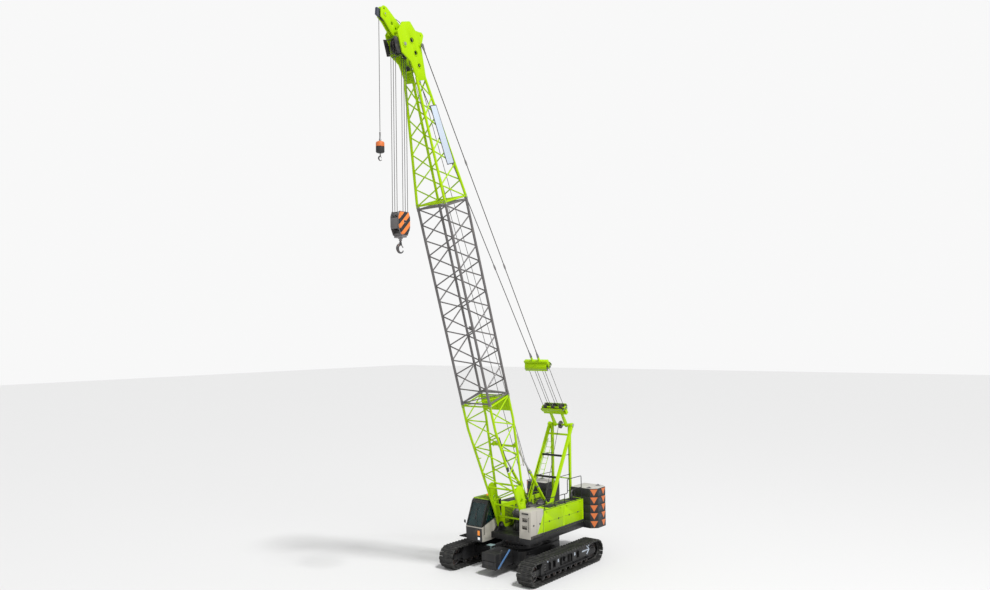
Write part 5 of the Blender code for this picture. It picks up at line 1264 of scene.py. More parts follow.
def tumblers(side, name):
    middle = side * GAUGE_HALF
    rim = 0.396
    half = 0.105
    idler = turned([(0.0703, -half), (0.13, -half), (0.14, -0.05), (rim - 0.07, -0.045), (rim - 0.05, -half),
                    (rim - 0.008, -half), (rim, -half + 0.008), (rim, half - 0.008), (rim - 0.008, half),
                    (rim - 0.05, half), (rim - 0.07, 0.045), (0.14, 0.05), (0.13, half), (0.0703, half)], "Y", 48)
    holes = [rod((0.225 * cos(a), -0.2, 0.225 * sin(a)), (0.225 * cos(a), 0.2, 0.225 * sin(a)), 0.048, 20)
             for a in (k * pi / 3 for k in range(6))]
    cut(idler, joined(holes))
    idler.data.transform(Matrix.Translation((TUMBLER_HALF, middle, TRACK_RADIUS)))
    piece(name + "_idler_wheel", idler, name + "_crawler", SHEAVE_STEEL, (name + "_idler",))
    teeth = 17
    outline = []
    for k in range(teeth):
        angle = 360 / teeth * k
        outline += [(r * cos(radians(angle + a)), r * sin(radians(angle + a)))
                    for a, r in ((-8.5, 0.352), (-4.6, 0.360), (-2.8, 0.402), (2.8, 0.402), (4.6, 0.360), (8.5, 0.352))]
    ring = sheet_metal([outline, disc(0, 0, 0.071, 32)], -0.04, 0.04, edge=0.006)
    hub = turned([(0.0703, -half), (0.19, -half), (0.21, -0.085), (0.21, 0.085), (0.19, half), (0.0703, half)],
                 "Y", 40)
    wheel = joined([ring, hub, bolts([(0.17 * cos(a), half, 0.17 * sin(a)) for a in (k * pi / 6 for k in range(12))],
                                     (0, 1, 0), 0.014),
                    bolts([(0.17 * cos(a), -half, 0.17 * sin(a)) for a in (k * pi / 6 for k in range(12))],
                          (0, -1, 0), 0.014)])
    wheel.data.transform(Matrix.Translation((-TUMBLER_HALF, middle, TRACK_RADIUS)))
    piece(name + "_drive_sprocket", wheel, name + "_crawler", SHEAVE_STEEL, (name + "_sprocket",))


# --- carbody -------------------------------------------------------------
def carbody():
    frame_body = dressed("carbody", 0.010)
    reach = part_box("carbody")[1].y
    hollows = [box(x - 0.105, x + 0.105, *sorted((side * (reach - 0.7), side * (reach + 0.1))), 0.505, 0.815, 0)
               for x in (-0.98, 0.98) for side in (-1, 1)]
    cut(frame_body, *hollows)
    piece("carbody_frame", frame_body, "undercarriage", DARK, ("carbody",))
    for end, side in (("front", 1), ("rear", -1)):
        node = "carbody_weight_" + end
        low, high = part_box(node)
        x0, x1 = low.x - SHIFT, high.x - SHIFT
        slabs = [box(x0, x1, low.y, high.y, low.z + (high.z - low.z) * k / 2 + 0.003,
                     low.z + (high.z - low.z) * (k + 1) / 2 - 0.003, 0.025, 3) for k in range(2)]
        inner = x0 + 0.15, x1 - 0.15
        slabs.append(box(*inner, low.y + 0.12, high.y - 0.12, low.z + 0.1, high.z - 0.02, 0))
        piece(node + "_slabs", slabs, "undercarriage", DARK, (node,))
        face = x1 if side > 0 else x0
        eyes = []
        for y in (-0.26, 0.26):
            ring = turned([(0.035, -0.012), (0.06, -0.012), (0.06, 0.012), (0.035, 0.012)], "Y", 24)
            ring.data.transform(Matrix.Translation(((x0 + x1) / 2, y, high.z + 0.0)))
            eyes.append(ring)
        piece(node + "_eyes", eyes, "undercarriage", STEEL)
        pad = [box(face - side * 0.004, face + side * 0.004, -0.24, 0.24, 0.55, 0.68, 0.001)]
        piece(node + "_plate", pad, "undercarriage", SLAB_PAINT)
    teeth = 96
    outline = []
    for k in range(teeth):
        angle = 360 / teeth * k
        outline += [(r * cos(radians(angle + a)), r * sin(radians(angle + a)))
                    for a, r in ((-1.5, 0.775), (-0.6, 0.80), (0.6, 0.80), (1.5, 0.775))]
    ring = sheet_metal([outline, disc(0, 0, 0.55, 48)], 1.1003, 1.24, "Z", 0.003)
    upper = turned([(0.56, 1.245), (0.785, 1.245), (0.785, 1.3897), (0.56, 1.3897)], "Z", 72)
    piece("slew_ring_gear", [ring, upper], "undercarriage", SHEAVE_STEEL, ("slew_ring",))
    studs = [(0.905 * cos(a), 0.905 * sin(a), 1.10) for a in (k * pi / 18 for k in range(36))]
    studs += [(x, y, 0.98) for x in (-1.2, 1.2) for y in (-0.6, -0.2, 0.2, 0.6)]
    piece("carbody_bolts", bolts(studs, (0, 0, 1), 0.016), "undercarriage", STEEL)
    made = []
    for x in (-0.98, 0.98):
        for side in (-1, 1):
            made.append(box(x - 0.145, x + 0.145, side * 1.02, side * 1.10, 0.465, 0.855, 0.008))
    for side in (-1, 1):
        made.append(rod((0.0, side * 1.0, 0.66), (0.0, side * 1.24, 0.66), 0.055, 24, 0.006))
    piece("carbody_collars", made, "undercarriage", DARK)
    for side, name in ((1, "left"), (-1, "right")):
        slider = rod((0.0, side * 1.15, 0.66), (0.0, side * 1.985, 0.66), 0.035, 24)
        piece(name + "_extension_rod", slider, name + "_crawler", BRIGHT)
    step = [rod((1.6, -0.63, 0.95), (1.6, -0.63, 1.14), 0.022, 14),
            box(1.45, 1.75, -0.78, -0.48, 1.14, 1.155, 0.004),
            box(1.32, 1.62, -0.66, -0.60, 0.93, 0.96, 0.004)]
    step += [box(1.47 + 0.07 * k, 1.49 + 0.07 * k, -0.77, -0.49, 1.155, 1.163, 0.002) for k in range(4)]
    piece("carbody_step", step, "undercarriage", TEAL)
    brace = [bar((2.47, 0.45, 0.42), (1.60, 0.45, 1.09), 0.05, 0.07)]
    piece("carbody_brace", brace, "undercarriage", BLUE)
    hoses = [tube([(0.75, y, 1.11), (0.95, y, 1.06), (1.05, y * 1.6, 1.0), (0.75, y * 2.4, 0.985),
                   (0.2, y * 3.2, 0.985)], 0.016, 0.15, 3) for y in (-0.28, -0.22, 0.22, 0.28)]
    piece("carbody_hoses", hoses, "undercarriage", PLASTIC)


# --- revolving frame and drums ------------------------------------------
def chequer_plate(x0, x1, y0, y1, z, pitch=0.11):
    """Raised bars on a tread plate, turned to and fro."""
    bpy.ops.mesh.primitive_cube_add(size=1, scale=(0.05, 0.012, 0.003))
    model = settle()
    made = []
    rows, lines = int((x1 - x0) / pitch), int((y1 - y0) / pitch)
    for i in range(rows):
        for j in range(lines):
            lean = radians(45 if (i + j) % 2 else -45)
            spot = (x0 + (i + 0.5) * (x1 - x0) / rows, y0 + (j + 0.5) * (y1 - y0) / lines, z + 0.0015)
            made.append(copied(model, Matrix.Translation(spot) @ Matrix.Rotation(lean, 4, "Z")))
    removed(model)
    return joined(made)


def wound_drum(name, y_rope, layers_radius):
    centre = DRUMS[name]
    half, flange = 0.44, 0.40
    pitch = 2 * ROPE
    turns = int(2 * (flange - 0.01) / pitch)
    profile = [(0.0005, -0.54), (0.05, -0.54), (0.05, -half), (0.395, -half), (0.41, -half + 0.008),
               (0.41, -flange - 0.008), (0.395, -flange)]
    start = -turns * pitch / 2
    for k in range(turns):
        y = start + (k + 0.5) * pitch
        profile += [(layers_radius + ROPE * sin(radians(a)), y - ROPE * cos(radians(a))) for a in (10, 50, 90, 130, 170)]
    profile += [(0.395, flange), (0.41, flange + 0.008), (0.41, half - 0.008), (0.395, half), (0.05, half),
                (0.05, 0.54), (0.0005, 0.54)]
    item = turned(profile, "Y", 48, centre)
    ribs = [box(0.07, 0.38, -0.012, 0.012, half - 0.001, half + 0.004, 0.002) for _ in range(1)]
    for rib in ribs:
        rib.data.transform(Matrix.Rotation(-pi / 2, 4, "X") @ Matrix.Scale(1, 4))
    removed(*ribs)
    studs = [(centre.x + 0.33 * cos(a), side * half, centre.z + 0.33 * sin(a)) for side in (1,)
             for a in (k * pi / 6 for k in range(12))]
    head = bolts(studs, (0, 1, 0), 0.012, 0.005)
    piece(name + "_rope_windings", [item, head], name, WIRE, (name,))


def revolving_frame():
    piece("revolving_frame_body", dressed("revolving_frame", 0.005), "upperworks", DARK, ("revolving_frame",))
    made = []
    for name, centre in DRUMS.items():
        for side in (-1, 1):
            y = side * 0.5405
            made.append(turned([(0.056, -0.02), (0.12, -0.02), (0.12, 0.012), (0.10, 0.02), (0.056, 0.02)], "Y", 32,
                               (centre.x, y + side * 0.02, centre.z)))
            made.append(bolts([(centre.x + 0.095 * cos(a), y + side * 0.038, centre.z + 0.095 * sin(a))
                               for a in (k * pi / 4 for k in range(8))], (0, side, 0), 0.011))
            made.append(rod((centre.x, side * 0.60, centre.z), (centre.x, side * 0.72, centre.z), 0.115, 28, 0.01))
    piece("drum_bearings", made, "upperworks", STEEL)
    tread = [chequer_plate(0.55, 1.23, -0.70, 0.70, DECK_TOP), chequer_plate(-0.1, 0.30, -0.4, 0.4, DECK_TOP)]
    piece("deck_tread", tread, "upperworks", DARK)
    gear = [rod((x, y, DECK_TOP), (x, y, 2.02), 0.13, 28, 0.015) for x, y in ((0.35, 0.0),)]
    gear += [rod((x, y, 2.02), (x, y, 2.22), 0.085, 24, 0.012) for x, y in ((0.35, 0.0),)]
    piece("slew_gearbox", gear, "upperworks", DARK)
    hoses = []
    for k in range(6):
        y = -0.30 + 0.05 * k
        hoses.append(tube([(0.30, y, 1.70), (0.10, y, 1.95 + 0.02 * k), (-0.05, y + 0.05, 1.80), (-0.02, y + 0.1, 1.675)],
                          0.014, 0.12, 3))
    piece("deck_hoses", hoses, "upperworks", PLASTIC)
    pin = []
    for side in (-1, 1):
        pin.append(rod((BOOM_PIN.x, side * 0.868, BOOM_PIN.z), (BOOM_PIN.x, side * 0.895, BOOM_PIN.z), 0.10, 28, 0.008))
        pin.append(rod((BOOM_PIN.x, side * 0.64, BOOM_PIN.z), (BOOM_PIN.x, side * 0.665, BOOM_PIN.z), 0.085, 28, 0.008))
    piece("boom_foot_pins", pin, "upperworks", BRIGHT)


# --- housings ------------------------------------------------------------
def louvre_panel(x0, x1, z0, z1, y, out, count):
    """Slanting slats in a frame, standing out of a side wall."""
    made = []
    for k in range(count):
        z = z0 + (k + 0.5) * (z1 - z0) / count
        slat = box(x0 + 0.02, x1 - 0.02, -0.016, 0.016, -0.003, 0.003, 0.001, 1)
        slat.data.transform(Matrix.Translation((0, y + out * 0.006, z)) @ Matrix.Rotation(out * radians(-35), 4, "X"))
        made.append(slat)
    for low, high in ((z0 - 0.012, z0), (z1, z1 + 0.012)):
        made.append(box(x0, x1, y - out * 0.004, y + out * 0.014, low, high, 0.003, 1))
    for low, high in ((x0 - 0.012, x0 + 0.004), (x1 - 0.004, x1 + 0.012)):
        made.append(box(low, high, y - out * 0.004, y + out * 0.014, z0 - 0.012, z1 + 0.012, 0.003, 1))
    return joined(made)


def latch(x, y, z, out):
    ring = box(x - 0.045, x + 0.045, y - out * 0.002, y + out * 0.010, z - 0.035, z + 0.035, 0.006)
    grip = box(x - 0.030, x + 0.030, y + out * 0.008, y + out * 0.020, z - 0.010, z + 0.010, 0.004)
    return joined([ring, grip])


def top_details(side, name):
    low, high = sorted((side * (HOUSING_INNER + 0.06), side * (DECK_SIDE - 0.06)))
    made = []
    for x0, x1 in ((-2.95, -2.1), (-2.02, -1.2), (-1.12, -0.2)):
        made.append(box(x0, x1, low, high, HOUSING_TOP - 0.004, HOUSING_TOP + 0.010, 0.005))
        for x in (x0 + 0.15, x1 - 0.15):
            made.append(tube([(x - 0.05, (low + high) / 2, HOUSING_TOP + 0.008), (x - 0.05, (low + high) / 2, HOUSING_TOP + 0.045),
                              (x + 0.05, (low + high) / 2, HOUSING_TOP + 0.045), (x + 0.05, (low + high) / 2, HOUSING_TOP + 0.008)],
                             0.007, 0.02, 3))
    piece(name + "_housing_hatches", made, "upperworks", DARK)


def housings():
    for side, name in ((1, "left"), (-1, "right")):
        wall = dressed(name + "_housing", 0.007)
        piece(name + "_housing_shell", wall, "upperworks", GREEN, (name + "_housing",))
        top_details(side, name)
        y = side * DECK_SIDE
        strip = [box(-3.07, 0.41, y - side * 0.002, y + side * 0.008, 1.665, 1.79, 0.004)]
        strip += [box(-3.07, 0.41, y - side * 0.002, y + side * 0.006, 2.775, 2.797, 0.003)]
        piece(name + "_housing_skirt", strip, "upperworks", SLAB_PAINT)
        inner = side * HOUSING_INNER
        vents = [louvre_panel(x, x + 0.62, 1.85, 2.60, inner, -side, 11) for x in (-2.9, -2.1, -1.3, -0.5)]
        piece(name + "_housing_vents", vents, "upperworks", DARK)
    exhaust = [rod((-2.55, 1.15, HOUSING_TOP), (-2.55, 1.15, HOUSING_TOP + 0.22), 0.075, 28, 0.008),
               rod((-2.55, 1.15, HOUSING_TOP + 0.22), (-2.55, 1.15, HOUSING_TOP + 0.30), 0.05, 24)]
    exhaust.append(tube([(-2.55, 1.15, HOUSING_TOP + 0.28), (-2.55, 1.15, HOUSING_TOP + 0.36),
                         (-2.68, 1.15, HOUSING_TOP + 0.42)], 0.045, 0.08, 5))
    piece("exhaust_stack", exhaust, "upperworks", SHEAVE_STEEL)
    for name, side, latches in (("left_door_rear", 1, 2), ("left_door_front", 1, 2), ("right_door", -1, 4)):
        piece(name + "_panel", dressed(name, 0.006), name, GREEN, (name,))
        low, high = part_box(name)
        x0, x1 = low.x - SHIFT, high.x - SHIFT
        y = side * DECK_SIDE
        made = [latch(x0 + (k + 0.5) * (x1 - x0) / latches, y, 2.22, side) for k in range(latches)]
        made.append(box(x0 + 0.02, x1 - 0.02, y - side * 0.001, y + side * 0.002, 2.216, 2.224, 0.0005, 1))
        piece(name + "_latches", made, name, PLASTIC)
        if side < 0:
            grid = [louvre_panel(x, x + 0.55, 1.90, 2.12, y, side, 5) for x in (x0 + 0.25, x1 - 0.80)]
            piece(name + "_louvres", grid, name, DARK)
        rib = [box(x0 + 0.12, x1 - 0.12, y - side * 0.055, y - side * 0.038, z, z + 0.05, 0.004) for z in (1.9, 2.55)]
        piece(name + "_stiffeners", rib, name, DARK)


def front_cover():
    piece("left_cover_shell", dressed("left_front_cover", 0.012, 3), "upperworks", GREY, ("left_front_cover",))
    y = DECK_SIDE + 0.02
    front = COVER_FRONT
    dark = [box(0.43, front - 0.02, y - 0.002, y + 0.006, 1.665, 1.80, 0.003),
            box(0.40, 0.425, DECK_SIDE - 0.6, y + 0.004, 1.80, 2.80, 0.002),
            box(front - 0.06, front - 0.028, 1.02, 1.38, 2.74, 2.81, 0.010)]
    for z in (2.09, 2.43):
        dark.append(box(front - 0.15, front - 0.02, 1.05, 1.30, z + 0.001, z + 0.012, 0.003))
    piece("left_cover_trim", dark, "upperworks", PLASTIC)
    seams = [box(0.95, 0.956, y - 0.002, y + 0.003, 1.82, 2.86, 0.001), latch(1.2, y, 2.25, 1), latch(0.7, y, 2.25, 1)]
    piece("left_cover_seams", seams, "upperworks", SLAB_PAINT)
    wedge = [(0.423, 1.81), (0.92, 1.81), (0.423, 2.66)]
    piece("left_cover_green_wedge", sheet_metal([wedge], y - 0.001, y + 0.003, edge=0.001), "upperworks", GREEN)
    grip = tube([(front + 0.0, 1.44, 2.0), (front + 0.05, 1.44, 2.02), (front + 0.05, 1.44, 2.62),
                 (front - 0.02, 1.44, 2.64)], 0.012, 0.04, 3)
    piece("left_cover_grip", grip, "upperworks", DARK)


def engine():
    made = [box(-2.72, -1.28, 0.98, 1.38, 1.6603, 2.20, 0.03, 3)]
    made += [box(-2.60 + 0.32 * k, -2.34 + 0.32 * k, 1.02, 1.34, 2.19, 2.30, 0.02) for k in range(4)]
    made += [rod((-1.27, 1.18, 1.98), (-1.25, 1.18, 1.98), 0.19, 28)]
    made += [rod((-2.5 + 0.2 * k, 1.39, 1.85), (-2.5 + 0.2 * k, 1.398, 1.85), 0.03, 16) for k in range(6)]
    made.append(tube([(-2.6, 1.05, 2.24), (-2.5, 1.0, 2.40), (-1.6, 1.0, 2.40), (-1.4, 1.05, 2.24)], 0.035, 0.15, 4))
    made.append(rod((-2.45, 1.22, 2.36), (-2.0, 1.22, 2.36), 0.085, 28, 0.012))
    piece("engine_block", made, "upperworks", STEEL, ("engine",))


def handrails():
    y = DECK_SIDE - 0.05
    top = HOUSING_TOP
    r = 0.019
    made = [tube([(0.20, y, top), (0.20, y, top + 0.45), (-1.50, y, top + 0.45), (-1.50, y, top)], r, 0.08, 4),
            tube([(-1.47, y, top + 0.44), (-1.75, y, top + 0.44), (-1.75, y, top + 1.10), (-3.0, y, top + 1.10),
                  (-3.0, y, top)], r, 0.08, 4),
            rod((-1.74, y, top + 0.55), (-3.0, y, top + 0.55), r * 0.8, 14)]
    for x, rail in ((-0.65, 0.45), (-2.4, 0.55)):
        made.append(rod((x, y, top), (x, y, top + rail), r, 14))
    made.append(rod((0.20, y, top + 0.22), (-1.5, y, top + 0.22), r * 0.7, 12))
    for x in (0.20, -0.65, -1.50, -2.4, -3.0):
        made.append(box(x - 0.045, x + 0.045, y - 0.045, y + 0.045, top + 0.0, top + 0.010, 0.003))
        made.append(rod((x, y, top + 0.008), (x, y, top + 0.06), r * 1.35, 16, 0.003))
    piece("left_handrail_tubes", made, "upperworks", DARK, ("left_handrail",))


def walkway():
    low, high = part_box("right_walkway")
    x0, x1 = low.x - SHIFT, high.x - SHIFT
    inner, outer = CAB_OUTER - 0.02, CAB_OUTER - 0.44
    top = 1.40
    made = [box(x0, x1, y, y + 0.012, top - 0.04, top, 0.002, 1) for y in (outer, inner - 0.012)]
    made += [box(x, x + 0.012, outer, inner, top - 0.04, top, 0.002, 1) for x in (x0, x1 - 0.012)]
    count = int((x1 - x0) / 0.075)
    made += [box(x0 + k * (x1 - x0) / count, x0 + k * (x1 - x0) / count + 0.005, outer, inner, top - 0.030, top, 0, 1)
             for k in range(1, count)]
    made += [box(x0, x1, outer + k * 0.042, outer + k * 0.042 + 0.005, top - 0.014, top - 0.002, 0, 1)
             for k in range(1, 10)]
    for x in (-2.0, -1.0, -0.1):
        made.append(box(x - 0.04, x + 0.04, inner - 0.1, -DECK_SIDE - SEAT, top - 0.10, top - 0.042, 0.006))
        made.append(box(x - 0.05, x + 0.05, -DECK_SIDE - 0.012, -DECK_SIDE - SEAT, top - 0.0, top + 0.10, 0.003))
        made.append(box(x - 0.04, x + 0.04, -DECK_SIDE - 0.03, -DECK_SIDE - SEAT, top - 0.10, top + 0.02, 0.003))
    piece("right_walkway_grating", made, "upperworks", DARK, ("right_walkway",))


# --- counterweight -------------------------------------------------------
def slab_outline(inner, inset=0.0):
    """The left slab from above, its two outer corners cut off."""
    side = STACK_HALF - inset
    return [(STACK_FRONT - inset, inner), (STACK_REAR + inset, inner), (STACK_REAR + inset, STACK_HALF - STACK_CORNER),
            (STACK_REAR + STACK_CORNER, side), (STACK_FRONT - STACK_CORNER, side),
            (STACK_FRONT - inset, STACK_HALF - STACK_CORNER)]


def triangle(spot, across_axis, up, out, size):
    """A raised triangle pointing down, standing on a face."""
    width, height = size
    corners = [(-width / 2, height / 2), (width / 2, height / 2), (0.0, -height / 2)]
    item = sheet_metal([corners], -0.001, 0.004, "Z", 0.001)
    turn = Matrix((across_axis, up, out)).transposed().to_4x4()
    item.data.transform(Matrix.Translation(spot) @ turn)
    return item


def counterweight():
    half_tray = slab_outline(0)[2:]
    tray = half_tray + [(x, -y) for x, y in reversed(half_tray)]
    piece("counterweight_tray_slab", sheet_metal([tray], SLAB_BOTTOM, SLAB_BOTTOM + SLAB, "Z", 0.012), "upperworks",
          SLAB_PAINT, ("counterweight_tray",))
    for side, name in ((1, "left"), (-1, "right")):
        slabs = []
        for k in range(1, 5):
            z = SLAB_BOTTOM + k * SLAB
            item = sheet_metal([slab_outline(STACK_INNER)], z + (SEAT if k == 1 else 0.004), z + SLAB - (0 if k == 4 else 0.004),
                               "Z", 0.014)
            slabs.append(item if side > 0 else across(item))
            if side < 0:
                removed(item)
        piece("counterweight_" + name + "_slabs", slabs, "upperworks", SLAB_PAINT, ("counterweight_" + name,))
        marks = []
        for k in range(5):
            z = SLAB_BOTTOM + (k + 0.5) * SLAB
            for x, along in ((STACK_FRONT - STACK_CORNER / 2, 1), (STACK_REAR + STACK_CORNER / 2, -1)):
                middle = (x, side * (STACK_HALF - STACK_CORNER / 2), z)
                slant = Vector((along, side, 0)).normalized()
                marks.append(triangle(middle, Vector((-slant.y, slant.x, 0)), (0, 0, 1), slant, (0.37, 0.31)))
            marks.append(triangle((STACK_REAR + STACK_CORNER + 0.20, side * STACK_HALF, z), (1, 0, 0), (0, 0, 1),
                                  (0, side, 0), (0.37, 0.31)))
        piece("counterweight_" + name + "_marks", marks, "upperworks", ORANGE, smooth=20)
        top = SLAB_BOTTOM + 5 * SLAB
        caps, eyes = [], []
        for k in range(1, 5):
            z = SLAB_BOTTOM + (k + 1) * SLAB
            if k == 4:
                outline = [(x, side * y) for x, y in slab_outline(STACK_INNER + 0.02, 0.02)]
                caps.append(sheet_metal([outline], z - 0.003, z + 0.003, "Z", 0.001))
            x, y = STACK_FRONT - 0.50, side * STACK_HALF
            boss = turned([(0.0005, -0.006), (0.075, -0.006), (0.082, 0.004), (0.060, 0.012), (0.045, 0.004), (0.0005, 0.002)],
                          "Y", 32)
            boss.data.transform(Matrix.Translation((x, y, z - SLAB / 2)) @ Matrix.Scale(side, 4, (0, 1, 0))
                                @ Matrix.Scale(1.35, 4, (1, 0, 0)))
            if side > 0:
                boss.data.flip_normals()
            eyes.append(boss)
        piece("counterweight_" + name + "_top", caps, "upperworks", SLAB_TOP)
        bosses = joined(eyes)
        select_only(bosses)
        bpy.ops.object.mode_set(mode="EDIT")
        bpy.ops.mesh.select_all(action="SELECT")
        bpy.ops.mesh.normals_make_consistent(inside=False)
        bpy.ops.object.mode_set(mode="OBJECT")
        piece("counterweight_" + name + "_eyes", bosses, "upperworks", BLUE_BLACK)
        lifts, wells = [], []
        for x in (STACK_FRONT - 0.20, STACK_REAR + 0.22):
            y = side * 1.68
            lifts.append(turned([(0.105, top), (0.125, top), (0.125, top + 0.012), (0.105, top + 0.012)], "Z", 32, (x, y, 0)))
            lifts.append(tube([(x - 0.06, y, top + 0.004), (x - 0.05, y, top + 0.055), (x + 0.05, y, top + 0.055),
                               (x + 0.06, y, top + 0.004)], 0.014, 0.03, 4))
            wells.append(rod((x, y, top - 0.001), (x, y, top + 0.0045), 0.104, 32))
        piece("counterweight_" + name + "_lifting_wells", wells, "upperworks", BLUE_BLACK)
        piece("counterweight_" + name + "_lifts", lifts, "upperworks", STEEL)


# --- gantry --------------------------------------------------------------
def gantry():
    piece("gantry_front_frame", dressed("gantry_front_legs", 0.008), "upperworks", GREEN, ("gantry_front_legs",))
    piece("gantry_rear_frame", dressed("gantry_rear_legs", 0.006), "upperworks", GREEN, ("gantry_rear_legs",))
    made = []
    for side in (-1, 1):
        made.append(rod((GANTRY.x, side * 0.715, GANTRY.z), (GANTRY.x, side * 0.76, GANTRY.z), 0.07, 24, 0.008))
        made.append(rod((-1.0, side * 0.58, 1.80), (-1.0, side * 0.745, 1.80), 0.05, 24, 0.006))
        made.append(rod((BACKSTOP.x, side * 0.715, BACKSTOP.z), (BACKSTOP.x, side * 0.745, BACKSTOP.z), 0.05, 24, 0.006))
        made.append(rod((GANTRY.x, side * 0.455, 2.16), (GANTRY.x, side * 0.58, 2.16), 0.04, 20, 0.006))
    piece("gantry_pins", made, "upperworks", BRIGHT)
    foot = Vector((-1.0, 0, 1.76))
    ties = []
    for share in (0.32, 0.54):
        spot = GANTRY.lerp(foot, share)
        ties.append(bar(spot - Vector((0, 0.597, 0)), spot + Vector((0, 0.597, 0)), 0.094, 0.094))
        for side in (-1, 1):
            ties.append(rod((spot.x, side * 0.61, spot.z), (GANTRY.x + 0.05, side * 0.545, spot.z), 0.016, 12))
    piece("gantry_ties", ties, "upperworks", DARK)
    along = (foot - GANTRY).normalized()
    out = Vector((-along.z, 0, along.x)) * -1
    ladder = []
    start, reach = GANTRY + along * 0.75, 2.15
    for y in (-0.30, -0.58):
        ladder.append(rod(start + Vector((0, y, 0)) + out * 0.10, start + along * reach + Vector((0, y, 0)) + out * 0.10,
                          0.016, 14))
    for k in range(7):
        spot = start + along * (0.16 + 0.30 * k) + out * 0.10
        ladder.append(rod(spot + Vector((0, -0.30, 0)), spot + Vector((0, -0.58, 0)), 0.011, 12))
    for d in (0.08, 2.05):
        spot = start + along * d
        for y in (-0.30, -0.58):
            ladder.append(rod(spot + Vector((0, y, 0)), spot + Vector((0, y, 0)) + out * 0.10, 0.012, 10))
    piece("gantry_ladder", ladder, "upperworks", GREEN)
    wheel = sheave(0.17, 0.0505, 0.028, 0)
    wheel.data.transform(Matrix.Translation((GANTRY.x, 0, GANTRY.z)))
    piece("gantry_guide_sheave", wheel, "upperworks", SHEAVE_STEEL)
    keep = [turned([(0.0505, -0.03), (0.075, -0.03), (0.075, 0.03), (0.0505, 0.03)], "Y", 24, (GANTRY.x, side * 0.06, GANTRY.z))
            for side in (-1, 1)]
    piece("gantry_guide_collars", keep, "upperworks", STEEL)
    drum = DRUMS["luffing_drum"]
    centre = Vector((GANTRY.x, 0, GANTRY.z))
    line = centre - drum
    angle = atan2(line.z, line.x)
    first = drum + Vector((0.30 * sin(angle) * -1, 0, 0.30 * cos(angle))) * -1
    last = centre + Vector((-0.17 * sin(angle), 0, 0.17 * cos(angle))) * -1
    over = [(u, 0, v) for u, v in wrap_points(centre.x, centre.z, 0.17, degrees(angle) - 90, -(360 - 0), 24)][:1]
    lead = [rope_line(first, last)]
    lead.append(tube([(u, 0, v) for u, v in wrap_points(centre.x, centre.z, 0.17, degrees(angle) - 90, 205, 20)], ROPE,
                     resolution=2))
    piece("luffing_lead_rope", lead, "upperworks", WIRE)
    lamp = [rod((GANTRY.x, side * 0.66, GANTRY.z + 0.115), (GANTRY.x, side * 0.66, GANTRY.z + 0.125), 0.03, 16)
            for side in (-1,)]
    piece("gantry_lamp_base", lamp, "upperworks", PLASTIC)


# --- cab -----------------------------------------------------------------
def gasket(outline, y0, y1, width=0.022):
    """A rubber frame round a window, inside its outline."""
    centre_x = sum(p[0] for p in outline) / len(outline)
    centre_z = sum(p[1] for p in outline) / len(outline)
    inner = []
    for u, v in outline:
        away = Vector((u - centre_x, v - centre_z))
        spot = Vector((centre_x, centre_z)) + away * (1 - width * 2.2 / away.length)
        inner.append((spot.x, spot.y))
    return sheet_metal([outline, inner], y0, y1, edge=0.003)


DOOR_GLASS = [(0.72, 2.10), (1.58, 2.10), (1.29, 2.88), (0.72, 2.88)]
INNER_GLASS = [(0.60, 2.33), (1.70, 2.02), (1.34, 2.94), (0.60, 2.94)]


def sliced(item, point, direction, keep_ahead):
    """What lies ahead of a plane, or behind it, with the cut closed."""
    select_only(item)
    bpy.ops.object.mode_set(mode="EDIT")
    bpy.ops.mesh.select_all(action="SELECT")
    bpy.ops.mesh.bisect(plane_co=point, plane_no=direction, use_fill=True, clear_inner=keep_ahead,
                        clear_outer=not keep_ahead)
    bpy.ops.object.mode_set(mode="OBJECT")
    return item


